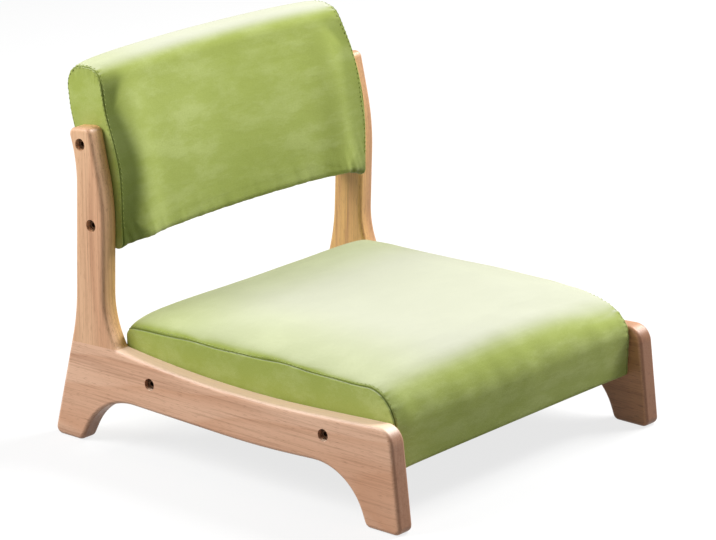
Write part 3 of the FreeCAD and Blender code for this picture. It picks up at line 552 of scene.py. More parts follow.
@dataclass(frozen=True)
class FeltedCloth:
    """Thin black non-woven cloth with pressed dots."""

    name: str
    colour: Colour
    fibre: Colour

    def build(self) -> bpy.types.Material:
        """Builds the material, a fine noise of fibres with dots on a nearly even grid.

        Returns:
            The material.
        """
        material, shader, place = new_material(self.name)
        dots = shader.add("TexVoronoi", Vector=place, Scale=420.0, Randomness=0.15)
        fibres = shader.noise(place, scale=1900.0, detail=4.0, rough=0.7)
        body = shader.mix(shader.remap(fibres, 0.45, 0.75), self.colour, self.fibre)
        pressed = shader.remap(dots.outputs["Distance"], 0.12, 0.32)
        height = shader.math("ADD", shader.math("MULTIPLY", pressed, 0.8),
                             shader.math("MULTIPLY", fibres, 0.4))
        shader.finish(Base_Color=body, Roughness=0.9, Sheen_Weight=0.2, Sheen_Roughness=0.5,
                      Normal=shader.bump(height, strength=0.35, distance=0.0004))
        return material


# Curves and waves


def bell(value: np.ndarray, middle: float, width: float) -> np.ndarray:
    """Returns e to minus the square of the distance from the middle over the width."""
    return np.exp(-((value - middle) / width) ** 2)


def shoulder(value: np.ndarray, width: float) -> np.ndarray:
    """Returns e to minus half the square of value over width, and 1 below zero."""
    return np.exp(-np.clip(value, 0, None) ** 2 / (2 * width ** 2))


def fading(value: np.ndarray, length: np.ndarray | float) -> np.ndarray:
    """Returns e to minus value over length, and 1 for negative values."""
    return np.exp(-np.clip(value, 0, None) / length)


def ramp(value: np.ndarray, start: float, length: float) -> np.ndarray:
    """Returns how far a value has come along a length from the start, 0 to 1."""
    return np.clip((value - start) / length, 0, 1)


def wave(along: np.ndarray, wavelength: float, phase: np.ndarray | float) -> np.ndarray:
    """Returns the sine of a full turn times place over wavelength, plus a phase."""
    return np.sin(along * math.tau / wavelength + phase)


def uneven_waves(across: np.ndarray, wavelengths: tuple[float, ...], seed: int) -> np.ndarray:
    """Adds up sines of several lengths, unevenly.

    It is the mean of a strength times the sine of a full turn times the place over the wavelength,
    plus a start and a drift, which is itself a sine nearly five times as long.

    Args:
        across: Places along the waves.
        wavelengths: The waves' lengths.
        seed: The seed of their starts, strengths and drifts.

    Returns:
        The waves' height at each place, within -1 and 1.
    """
    rng = np.random.default_rng(seed)
    total = np.zeros_like(across)
    for wavelength in wavelengths:
        start, strength = rng.uniform(0, math.tau), rng.uniform(0.6, 1.0)
        drift = 0.9 * wave(across, 4.7 * wavelength, rng.uniform(0, math.tau))
        total += strength * wave(across, wavelength, start + drift)
    return total / len(wavelengths)


def crown(station: np.ndarray, power: float) -> np.ndarray:
    """Returns the fullness at stations from 0 to 1: the root of one minus their power."""
    return np.sqrt(np.maximum(0, 1 - np.abs(station) ** power))


def depth_of(points: np.ndarray) -> np.ndarray:
    """Returns how far each point lies in front of the heels."""
    return HEEL_Y - points[..., 1]


def path_lengths(path: np.ndarray) -> np.ndarray:
    """Returns the length of an open path up to each of its points."""
    steps = np.linalg.norm(np.diff(path, axis=0), axis=1)
    return np.concatenate([[0], np.cumsum(steps)])


# Surfaces


def rounded_outline(corners: np.ndarray, radii: np.ndarray, arc_steps: Steps,
                    line_steps: Steps) -> np.ndarray:
    """Samples closed outlines of straight runs joined by tangent arcs, one for each station.

    The arc at a corner starts a reach of radius times the tangent of half the turn before it. A
    point of the arc is its centre, minus the inward normal times the cosine of the angle gone so
    far, plus the incoming direction times its sine, both times the radius.

    Args:
        corners: Corner points, stations by corners by 2.
        radii: A radius for each corner, stations by corners.
        arc_steps: How many steps each corner's arc has.
        line_steps: How many steps the run after each corner has.

    Returns:
        Points along the outlines, stations by points by 2.
    """
    incoming = corners - np.roll(corners, 1, axis=1)
    incoming /= np.linalg.norm(incoming, axis=2, keepdims=True)
    outgoing = np.roll(incoming, -1, axis=1)
    cross = incoming[..., 0] * outgoing[..., 1] - incoming[..., 1] * outgoing[..., 0]
    turn = np.abs(np.arctan2(cross, np.sum(incoming * outgoing, axis=2)))[..., None]
    side = np.sign(cross)[..., None]
    normal = np.stack([-incoming[..., 1], incoming[..., 0]], axis=2) * side
    radius = radii[..., None]
    reach = radius * np.tan(turn / 2)
    start = corners - incoming * reach
    end = corners + outgoing * reach
    centre = start + normal * radius
    runs = []
    for corner, (arc_count, line_count) in enumerate(zip(arc_steps, line_steps)):
        gone = np.linspace(0, 1, arc_count, endpoint=False)[None, :, None]
        angle = turn[:, corner, None] * gone
        spoke = (incoming[:, corner, None] * np.sin(angle)
                 - normal[:, corner, None] * np.cos(angle))
        runs.append(centre[:, corner, None] + radius[:, corner, None] * spoke)
        following = np.roll(start, -1, axis=1)[:, corner, None]
        along = np.linspace(0, 1, line_count, endpoint=False)[None, :, None]
        runs.append(end[:, corner, None] * (1 - along) + following * along)
    return np.concatenate(runs, axis=1)


def inset_corners(corners: np.ndarray, amounts: np.ndarray) -> np.ndarray:
    """Moves each side of closed outlines inwards and returns where the moved sides meet.

    Args:
        corners: Corner points, anticlockwise, stations by corners by 2.
        amounts: How far the side after each corner moves, stations by corners.

    Returns:
        The new corners, stations by corners by 2.
    """
    along = np.roll(corners, -1, axis=1) - corners
    along /= np.linalg.norm(along, axis=2, keepdims=True)
    inward = np.stack([-along[..., 1], along[..., 0]], axis=2)
    origin = corners + inward * amounts[..., None]
    before_origin = np.roll(origin, 1, axis=1)
    before = np.roll(along, 1, axis=1)
    turn = before[..., 0] * along[..., 1] - before[..., 1] * along[..., 0]
    offset = origin - before_origin
    travel = (offset[..., 0] * along[..., 1] - offset[..., 1] * along[..., 0]) / turn
    return before_origin + before * travel[..., None]


def grid_normals(grid: np.ndarray) -> np.ndarray:
    """Works out the outward unit normals of a grid that is closed along its second axis.

    A normal is the cross product of the differences to the neighbours along both axes, over its
    length.

    Args:
        grid: Points, stations by outline points by 3.

    Returns:
        The normals, of the grid's shape.
    """
    across = np.gradient(grid, axis=0)
    around = np.roll(grid, -1, axis=1) - np.roll(grid, 1, axis=1)
    normals = np.cross(around, across)
    lengths = np.linalg.norm(normals, axis=2, keepdims=True)
    normals /= np.maximum(lengths, 1e-12)
    middle = grid.mean(axis=(0, 1))
    outwards = np.sum(normals * (grid - middle), axis=2).sum()
    return normals * np.sign(outwards)


def refine(values: np.ndarray, factor: int) -> np.ndarray:
    """Makes a grid of values finer by straight interpolation, closed around the outline.

    Args:
        values: Values at stations by outline points by 3.
        factor: How many fine steps each coarse step becomes.

    Returns:
        The finer values, (stations - 1) * factor + 1 by points * factor by 3.
    """
    share = (np.arange(factor) / factor)[None, :, None, None]
    rows = values[:-1, None] * (1 - share) + values[1:, None] * share
    rows = np.concatenate([rows.reshape(-1, *values.shape[1:]), values[-1:]])
    share = share.reshape(1, 1, factor, 1)
    following = np.roll(rows, -1, axis=1)
    columns = rows[:, :, None] * (1 - share) + following[:, :, None] * share
    return columns.reshape(rows.shape[0], -1, 3)


def smooth_grid(values: np.ndarray, passes: int) -> np.ndarray:
    """Averages the values of a grid with their neighbours, several times.

    A pass makes a value a third of itself plus a sixth of each of its four neighbours; the outer
    stations stay.

    Args:
        values: Values at stations by outline points by 3.
        passes: How many times.

    Returns:
        The smoothed values.
    """
    for _ in range(passes):
        around = np.roll(values, 1, axis=1) + np.roll(values, -1, axis=1)
        across = values[:-2] + values[2:]
        values = values.copy()
        values[1:-1] = (values[1:-1] * 2 + around[1:-1] + across) / 6
    return values


def smooth_path(path: np.ndarray, passes: int) -> np.ndarray:
    """Averages the points of a closed path with their neighbours, several times.

    A pass makes a point half of itself plus a quarter of each of its two neighbours.

    Args:
        path: Points by 3.
        passes: How many times.

    Returns:
        The smoothed path.
    """
    for _ in range(passes):
        path = (np.roll(path, 1, axis=0) + 2 * path + np.roll(path, -1, axis=0)) / 4
    return path


# Meshes and pieces


def vertex_places(mesh: bpy.types.Mesh) -> np.ndarray:
    """Reads where a mesh's vertices are.

    Args:
        mesh: The mesh.

    Returns:
        The places, vertices by 3.
    """
    places = np.empty(len(mesh.vertices) * 3)
    mesh.vertices.foreach_get("co", places)
    return places.reshape(-1, 3)


def signed_volume(mesh: bpy.types.Mesh) -> float:
    """Works out a closed mesh's volume, negative where its faces point inwards.

    It is a sixth of the sum, over its triangles, of the first corner times the cross product of the
    other two.

    Args:
        mesh: The mesh.

    Returns:
        The volume in cubic metres.
    """
    mesh.calc_loop_triangles()
    corners = np.empty(len(mesh.loop_triangles) * 3, dtype=np.int32)
    mesh.loop_triangles.foreach_get("vertices", corners)
    first, second, third = vertex_places(mesh)[corners.reshape(-1, 3)].transpose(1, 0, 2)
    return float(np.sum(first * np.cross(second, third)) / 6)


def closed_mesh(name: str, points: np.ndarray, faces: list[list[int]]) -> bpy.types.Mesh:
    """Makes a smooth mesh of closed surfaces whose faces point outwards.

    Args:
        name: The mesh's name.
        points: Points by 3.
        faces: The numbers of the points round each face.

    Returns:
        The new mesh.
    """
    mesh = bpy.data.meshes.new(name)
    mesh.from_pydata(points.tolist(), [], faces)
    mesh.validate()
    if signed_volume(mesh) < 0:
        mesh.flip_normals()
    mesh.polygons.foreach_set("use_smooth", np.ones(len(mesh.polygons), dtype=bool))
    mesh.update()
    return mesh


def grid_mesh(name: str, grid: np.ndarray) -> bpy.types.Mesh:
    """Makes a mesh of a grid closed around its second axis, with a pole at both ends.

    Args:
        name: The mesh's name.
        grid: Points, stations by outline points by 3.

    Returns:
        The closed mesh, its two poles last among its vertices.
    """
    rows, columns = grid.shape[:2]
    index = np.arange(rows * columns).reshape(rows, columns)
    following = np.roll(index, -1, axis=1)
    quads = np.stack([index[:-1], following[:-1], following[1:], index[1:]], axis=2)
    first_pole = np.full(columns, rows * columns)
    poles = np.stack([grid[0].mean(axis=0), grid[-1].mean(axis=0)])
    first_fan = np.stack([following[0], index[0], first_pole], axis=1)
    last_fan = np.stack([index[-1], following[-1], first_pole + 1], axis=1)
    faces = quads.reshape(-1, 4).tolist() + first_fan.tolist() + last_fan.tolist()
    return closed_mesh(name, np.concatenate([grid.reshape(-1, 3), poles]), faces)


def place_in_scene(name: str, data: bpy.types.ID) -> bpy.types.Object:
    """Makes an object and puts it in the scene.

    Args:
        name: The object's name.
        data: Its mesh, lamp or camera.

    Returns:
        The new object.
    """
    placed = bpy.data.objects.new(name, data)
    bpy.context.scene.collection.objects.link(placed)
    return placed


def new_piece(name: str, mesh: bpy.types.Mesh, material: bpy.types.Material, slot: str,
              *replaced: str) -> bpy.types.Object:
    """Puts a mesh in the scene as a piece of the chair.

    Args:
        name: The piece's name.
        mesh: Its mesh, in place in the chair's frame.
        material: Its finish.
        slot: The record's material slot; not used.
        *replaced: The CAD nodes that the piece stands for.

    Returns:
        The new object.
    """
    piece = place_in_scene(name, mesh)
    mesh.materials.append(material)
    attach(piece, BODY)
    if replaced:
        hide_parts(*replaced)
    log.info("%s: %d faces", name, len(mesh.polygons))
    return piece


def dress_nodes(material: bpy.types.Material, *nodes: str) -> None:
    """Puts a finish on CAD nodes.

    Args:
        material: The finish.
        *nodes: The nodes' names.
    """
    for node in nodes:
        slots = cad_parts[node].data.materials
        slots.clear()
        slots.append(material)
        log.info("%s: %s", node, material.name)


# Cushions


@dataclass
class AirPressure:
    """A short cloth simulation that swells a cushion's skin between its held seams.

    Attributes:
        pressure: The air's pressure.
        frames: How many frames it works.
        cap: The longest move that is let through.
        smoothing: How often the moves are averaged.
    """

    pressure: float = 4.0
    frames: int = 20
    cap: float = 0.006
    smoothing: int = 3

    def swell(self, grid: np.ndarray, held: np.ndarray) -> np.ndarray:
        """Simulates the skin and returns how far each of its points moved.

        Args:
            grid: The skin, stations by outline points by 3.
            held: How firmly each point is held, from 0 to 1.

        Returns:
            The moves, of the grid's shape, none longer than the cap.
        """
        mesh = grid_mesh("simulated_skin", grid)
        skin = place_in_scene("simulated_skin", mesh)
        group = skin.vertex_groups.new(name="held")
        weights = np.round(np.concatenate([held.reshape(-1), [1.0, 1.0]]), 2)
        for level in np.unique(weights):
            group.add(np.nonzero(weights == level)[0].tolist(), float(level), "REPLACE")
        self._make_cloth(skin)
        scene = bpy.context.scene
        for number in range(1, self.frames + 1):
            scene.frame_set(number)
        evaluated = skin.evaluated_get(bpy.context.evaluated_depsgraph_get())
        places = vertex_places(evaluated.data)
        scene.frame_set(1)
        bpy.data.objects.remove(skin)
        bpy.data.meshes.remove(mesh)
        moved = smooth_grid(places[:-2].reshape(grid.shape) - grid, self.smoothing)
        lengths = np.linalg.norm(moved, axis=2, keepdims=True)
        return moved * np.minimum(1, self.cap / np.maximum(lengths, 1e-9))

    def _make_cloth(self, skin: bpy.types.Object) -> None:
        """Gives the skin a weightless cloth under pressure.

        Args:
            skin: The skin, pinned by its vertex group held.
        """
        cloth = skin.modifiers.new("cloth", "CLOTH")
        cloth.settings.quality = 6
        cloth.settings.mass = 0.2
        cloth.settings.tension_stiffness = 12
        cloth.settings.compression_stiffness = 12
        cloth.settings.shear_stiffness = 4
        cloth.settings.bending_stiffness = 0.4
        cloth.settings.use_pressure = True
        cloth.settings.uniform_pressure_force = self.pressure
        cloth.settings.vertex_group_mass = "held"
        cloth.settings.effector_weights.gravity = 0
        cloth.collision_settings.use_collision = False


@dataclass
class Seam:
    """How a sewn seam sinks into a cushion, how the cloth gathers beside it, and its groove's
    painted shadow.

    Attributes:
        depth: How deep the seam sinks.
        width: Half the width of its groove.
        shade_width: How far the groove's soft painted shade reaches.
        darkness: How dark the groove's painted shadow is at its middle, 0 to 1.
        gather_height: How high the gathers rise.
        gather_reach: How far they reach from the seam.
        gather_waves: The wavelength and share of each of their waves.
        drift_wavelength: Over what length their phase drifts.
        sway: How far the seam wanders across its line.
        sway_reach: How far from the seam the skin goes along with that.
        sway_wavelengths: The lengths of the two waves of that wander.
    """

    depth: float = 0.0010
    width: float = 0.0009
    shade_width: float = 0.0026
    darkness: float = 0.75
    gather_height: float = 0.00013
    gather_reach: float = 0.008
    gather_waves: tuple[tuple[float, float], ...] = (
        (0.0061, 0.6), (0.0094, 0.9), (0.016, 1.0), (0.041, 0.8))
    drift_wavelength: float = 0.093
    sway: float = 0.0009
    sway_reach: float = 0.022
    sway_wavelengths: tuple[float, float] = (0.145, 0.067)

    def gathers(self, along: np.ndarray, seed: int) -> np.ndarray:
        """Works out uneven gathers along a seam.

        They are the sum of a share times the sine of a full turn times the length over the
        wavelength, plus a start and a drift, which is a slow sine.

        Args:
            along: Lengths along the seam.
            seed: The seed of their phases.

        Returns:
            The gathers at each length, not yet scaled.
        """
        rng = np.random.default_rng(seed)
        total = np.zeros_like(along)
        for wavelength, share in self.gather_waves:
            start = rng.uniform(0, math.tau)
            drift = 0.7 * wave(along, self.drift_wavelength, rng.uniform(0, math.tau))
            total += share * wave(along, wavelength, start + drift)
        return total

    def line(self, along: np.ndarray, seed: int) -> np.ndarray:
        """Works out how a seam slowly wanders across its line.

        It is the sway times the sum of a long sine and half of a shorter one.

        Args:
            along: Lengths along the seam.
            seed: The seed of their starts.

        Returns:
            The wander at each length.
        """
        starts = np.random.default_rng(seed).uniform(0, math.tau, 2)
        first, second = (wave(along, wavelength, start)
                         for wavelength, start in zip(self.sway_wavelengths, starts))
        return self.sway * (first + 0.5 * second)

    def shade(self, away: np.ndarray) -> np.ndarray:
        """Returns how dark the groove's painted shadow makes points at a distance from the seam."""
        soft = bell(away, 0, self.width) + 0.35 * bell(away, 0, self.shade_width)
        return self.darkness * np.minimum(soft, 1)

    def rise(self, away: np.ndarray, gathers: np.ndarray) -> np.ndarray:
        """Returns how far the skin rises beside the seam, where it gathers, less how it sinks."""
        lip = bell(away, 0, self.gather_reach) * (1 - bell(away, 0, 2 * self.width))
        return self.gather_height * lip * gathers - self.depth * bell(away, 0, self.width)


@dataclass
class Skin:
    """A cushion's finished surface, all its arrays stations by outline points.

    Attributes:
        points: The surface.
        shade: How much painted shade darkens each point.
        normals: The outward normals.
        from_seam: The distance from the nearer seam, positive on the end panels.
    """

    points: np.ndarray
    shade: np.ndarray
    normals: np.ndarray
    from_seam: np.ndarray


@dataclass
class Cushion(ABC):
    """A padded form: a crowned skin between two seams, closed by a panel at each end.

    Attributes:
        seam_half: The seams' distance from the chair's middle.
        end_half: The end panels' distance from it.
        station_steps: Coarse steps between the seams.
        shoulder_steps: Coarse steps from a seam to its end panel.
        cap_steps: Coarse steps over an end panel.
        cap_share: How far the last of them shrinks the outline.
        detail: How many fine steps each coarse step becomes.
        undersize: How far the skin is drawn in before it swells.
        give: The share of the simulated swelling that is kept.
        free_run: The distance from a seam over which the skin's hold fades.
        calm_run: The distance from a seam within which folds fade.
        seam: The seams' make.
        seed: The seed of their unevenness.
    """

    seam_half: float
    end_half: float
    station_steps: int = 40
    shoulder_steps: int = 3
    cap_steps: int = 6
    cap_share: float = 0.98
    detail: int = 4
    undersize: float = 0.003
    give: float = 0.5
    free_run: float = 0.07
    calm_run: float = 0.02
    seam: Seam = field(default_factory=Seam)
    seed: int = 3

    # What the seed of the seams' gathers has over that of their wander
    GATHER_SEED = 5

    @abstractmethod
    def corners(self, station: np.ndarray) -> tuple[np.ndarray, np.ndarray]:
        """Returns the section's corners and radii at stations from 0 in the middle to 1."""

    @abstractmethod
    def draws(self) -> np.ndarray:
        """Returns how far each side of the end panel is drawn in from its seam."""

    @abstractmethod
    def steps(self) -> tuple[Steps, Steps]:
        """Returns the coarse steps on each corner's arc and on the run after it."""

    @abstractmethod
    def warped(self, points: np.ndarray) -> np.ndarray:
        """Returns the form after changes that no upright section can show."""

    @abstractmethod
    def folds(self, points: np.ndarray) -> np.ndarray:
        """Returns how far soft folds lift the skin at each point."""

    @abstractmethod
    def painted_edge_shade(self, points: np.ndarray, run: np.ndarray) -> np.ndarray:
        """Returns how much painted shade darkens each point on rolled ends and hems."""

    @abstractmethod
    def gather_strength(self, edge: np.ndarray) -> np.ndarray:
        """Returns how strongly the cloth gathers at each point of a seam."""

    def held(self, points: np.ndarray, run: np.ndarray) -> np.ndarray:
        """Returns how firmly each point of the skin is held while it swells."""
        return np.where(run >= 0, 1.0, np.clip(1 + run / self.free_run, 0, 1) ** 3)

    def grid(self, detail: int) -> tuple[np.ndarray, np.ndarray]:
        """Works out the whole form, without its seams.

        Between the seams a station's place is the sine of a steady angle, so that stations crowd
        at the seams, where the crown falls fastest.

        Args:
            detail: How many fine steps each coarse step becomes.

        Returns:
            The points, stations by outline points by 3, and each station's number of steps past
            the nearer seam, negative between the seams.
        """
        arcs, runs = (tuple(count * detail for count in counts) for counts in self.steps())
        station = np.sin(np.linspace(-1, 1, self.station_steps * detail + 1) * math.pi / 2)
        corners, radii = self.corners(np.abs(station))
        outline = rounded_outline(corners, radii, arcs, runs)
        middle = self._placed(station * self.seam_half, outline)
        right = self._right_end(detail, arcs, runs)
        left = right[::-1] * np.array([-1, 1, 1])
        points = self.warped(np.concatenate([left, middle, right]))
        rows = np.arange(len(points))
        seams = (len(left), len(left) + len(middle) - 1)
        return points, np.maximum(seams[0] - rows, rows - seams[1])

    def _right_end(self, detail: int, arcs: Steps, runs: Steps) -> np.ndarray:
        """Works out the stations past the right seam.

        The outline is drawn in along a quarter ellipse, and then shrinks evenly onto the end
        panel's middle.

        Args:
            detail: How many fine steps each coarse step becomes.
            arcs: The fine steps on each corner's arc.
            runs: The fine steps on each run.

        Returns:
            The points, stations by outline points by 3.
        """
        turn = np.linspace(0, 1, self.shoulder_steps * detail + 1)[1:] * math.pi / 2
        corners, radii = self.corners(np.ones(len(turn)))
        amounts = self.draws()[None] * (1 - np.cos(turn))[:, None]
        shrink = np.minimum(np.roll(amounts, 1, axis=1), amounts)
        outline = rounded_outline(inset_corners(corners, amounts), radii - shrink, arcs, runs)
        out = self.seam_half + (self.end_half - self.seam_half) * np.sin(turn)
        rounded = self._placed(out, outline)
        gone = np.linspace(0, 1, self.cap_steps * detail + 1)[1:, None, None]
        centre = rounded[-1:].mean(axis=1, keepdims=True)
        panel = centre + (rounded[-1:] - centre) * (1 - gone * self.cap_share)
        return np.concatenate([rounded, panel])

    @staticmethod
    def _placed(x: np.ndarray, outline: np.ndarray) -> np.ndarray:
        """Stands outlines of depth and height across the chair at their x."""
        wide = np.broadcast_to(x[:, None], outline.shape[:2])
        return np.stack([wide, HEEL_Y - outline[..., 0], outline[..., 1]], axis=2)

    @staticmethod
    def run_from_seams(points: np.ndarray, past: np.ndarray) -> np.ndarray:
        """Works out each point's distance along its column from the nearer seam.

        It is the sum of the steps' lengths from the seam, positive on the end panels.

        Args:
            points: The form, stations by outline points by 3.
            past: Each station's number of steps past the nearer seam.

        Returns:
            The distances, stations by outline points.
        """
        steps = np.linalg.norm(np.diff(points, axis=0), axis=2)
        run = np.concatenate([np.zeros((1, points.shape[1])), np.cumsum(steps, axis=0)])
        first, second = np.nonzero(past == 0)[0]
        before, after = run[first] - run, run - run[second]
        return np.where(np.abs(before) < np.abs(after), before, after)

    def _swelling(self) -> np.ndarray:
        """Works out how far air pressure moves each point of the coarse form.

        The skin starts a little undersized where it is free, and its end is compared with the form.

        Returns:
            The moves, coarse stations by coarse outline points by 3.
        """
        coarse, past = self.grid(1)
        firm = self.held(coarse, self.run_from_seams(coarse, past))
        start = coarse - grid_normals(coarse) * (self.undersize * (1 - firm))[..., None]
        moved = AirPressure().swell(start, firm)
        return start + moved - coarse

    def _seam_waves(self, points: np.ndarray, past: np.ndarray) -> tuple[np.ndarray, np.ndarray]:
        """Works out the unevenness of each station's nearer seam.

        Wander and gathers both fade, with the root of half a sine, towards the start and end of the
        outline.

        Args:
            points: The form, stations by outline points by 3.
            past: Each station's number of steps past the nearer seam.

        Returns:
            The wander and the gathers, stations by outline points.
        """
        wander, gathers = [], []
        for number, row in enumerate(np.nonzero(past == 0)[0]):
            edge = points[row]
            along = path_lengths(edge)
            fade = np.sin(math.pi * along / along[-1]) ** 0.5
            wander.append(self.seam.line(along, self.seed + number) * fade)
            waves = self.seam.gathers(along, self.seed + self.GATHER_SEED + number)
            gathers.append(waves * self.gather_strength(edge) * fade)
        nearer = (np.arange(len(points)) > len(points) // 2).astype(int)
        return np.array(wander)[nearer], np.array(gathers)[nearer]

    def skin(self, simulate: bool) -> Skin:
        """Works out the finished surface: swollen, with its seams sunk and the cloth gathered.

        The seams' wander moves it up and down. Folds, gathers and grooves move it along its
        normals.

        Args:
            simulate: Whether air pressure swells it.

        Returns:
            The surface.
        """
        points, past = self.grid(self.detail)
        if simulate:
            points = points + self.give * refine(self._swelling(), self.detail)
        run = self.run_from_seams(points, past)
        away = np.abs(run)
        wander, gathers = self._seam_waves(points, past)
        swayed = wander * bell(away, 0, self.seam.sway_reach)
        points = points + np.array([0, 0, 1.0]) * swayed[..., None]
        folded = self.folds(points) * ramp(-run, 0, self.calm_run)
        points = points + grid_normals(points) * folded[..., None]
        points = points + grid_normals(points) * self.seam.rise(away, gathers)[..., None]
        points[..., 0] = np.clip(points[..., 0], -self.end_half, self.end_half)
        # Painted shade: the darker of the seams' groove shadow and the shade on rolled ends and
        # hems.
        shade = np.maximum(self.seam.shade(away), self.painted_edge_shade(points, run))
        return Skin(points, shade, grid_normals(points), run)


@dataclass
class SeatCushion(Cushion):
    """The seat: a crowned top that rolls over its front edge, between side gussets.

    Attributes:
        rear_depth: The depth of its rear.
        front_depth: The depth of its front.
        bottom: The height of its hem.
        seam_height: The height of the seams on top.
        middle_depth: The depth at which the crown is highest.
        slump: How far the front right corner sinks.
    """

    rear_depth: float = 0.0935
    front_depth: float = 0.4735
    bottom: float = 0.056
    seam_height: float = 0.1446
    middle_depth: float = 0.300
    slump: float = 0.0075

    def corners(self, station: np.ndarray) -> tuple[np.ndarray, np.ndarray]:
        """Works out the seat's section at each station.

        The corners are the rear hem, the front hem, the rolled front edge, the top and the rear
        edge. Each is its place at the seam plus its rise times a crown.

        Args:
            station: Stations from 0 in the middle to 1 at the seam.

        Returns:
            The corners, stations by corners by 2, and their radii, stations by corners.
        """
        fore, middle, aft = (crown(station, power) for power in (2.4, 5, 8))
        one = np.ones_like(middle)
        points = [
            (self.rear_depth * one, self.bottom * one),
            (self.front_depth - 0.0025 * fore, self.bottom * one),
            (self.front_depth + 0.002 + 0.009 * fore, self.seam_height + 0.012 * fore),
            (self.middle_depth * one, self.seam_height - 0.0009 + 0.0204 * middle),
            (self.rear_depth - 0.002 * one, self.seam_height - 0.007 + 0.0172 * aft),
        ]
        radii = [0.006 * one, 0.006 * one, 0.042 + 0.004 * fore, 2.5 * one, 0.009 + 0.009 * aft]
        return np.array(points).transpose(2, 0, 1), np.array(radii).T

    def draws(self) -> np.ndarray:
        """Returns the draw of each side: almost none under the seat, a little on the rest."""
        return np.array([0.0003, 0.002, 0.002, 0.002, 0.001])

    def steps(self) -> tuple[Steps, Steps]:
        """Returns the coarse steps around the seat's section."""
        return (3, 3, 11, 10, 5), (14, 5, 5, 7, 5)

    def held(self, points: np.ndarray, run: np.ndarray) -> np.ndarray:
        """Holds the seams and everything that lies on the seat's frame."""
        low = np.clip((self.bottom + 0.035 - points[..., 2]) / 0.03, 0, 1)
        return np.maximum(super().held(points, run), low)

    def warped(self, points: np.ndarray) -> np.ndarray:
        """Rounds the front right corner by a soft hollow, with a slight swell behind it.

        The height sinks by the slump times a bell of x, times a bell of depth less a quarter of one
        further back.

        Args:
            points: The form, stations by outline points by 3.

        Returns:
            The form with its corner rounded.
        """
        depth = depth_of(points)
        across = bell(points[..., 0], 0.195, 0.085)
        forward = bell(depth, 0.455, 0.04) - 0.25 * bell(depth, 0.385, 0.05)
        above = ramp(points[..., 2], 0.10, 0.04)
        slumped = points.copy()
        slumped[..., 2] -= self.slump * across * forward * above
        return slumped

    def folds(self, points: np.ndarray) -> np.ndarray:
        """Lays soft folds over the rolled front edge.

        They are uneven waves of a slanted x, times a bell of depth and a bell of height.

        Args:
            points: The form, stations by outline points by 3.

        Returns:
            How far they lift each point.
        """
        height = points[..., 2]
        roll = bell(depth_of(points), self.front_depth, 0.045) * bell(height, 0.128, 0.028)
        slant = points[..., 0] + 0.35 * (height - 0.12)
        return 0.0008 * roll * uneven_waves(slant, (0.041, 0.083, 0.139), 27)

    def painted_edge_shade(self, points: np.ndarray, run: np.ndarray) -> np.ndarray:
        """Paints shade beside the seams of the rolled front and along its hem.

        It falls off from the seams like half a bell, and fades with the height above the hem.

        Args:
            points: The form, stations by outline points by 3.
            run: Distances from the nearer seam, positive on the end panels.

        Returns:
            How much painted shade darkens each point, from 0 to 1.
        """
        front = ramp(depth_of(points) - self.front_depth, -0.03, 0.03) * (run < 0)
        end = shoulder(-run - 0.006, 0.010)
        hem = fading(points[..., 2] - self.bottom, 0.010)
        return front * np.clip(0.28 * end + 0.28 * hem, 0, 0.4)

    def gather_strength(self, edge: np.ndarray) -> np.ndarray:
        """Gathers most where the seam turns down over the front corner."""
        front = bell(edge[:, 1], HEEL_Y - self.front_depth + 0.014, 0.024)
        return (0.35 + 2.4 * front) * (edge[:, 2] > self.bottom + 0.012)


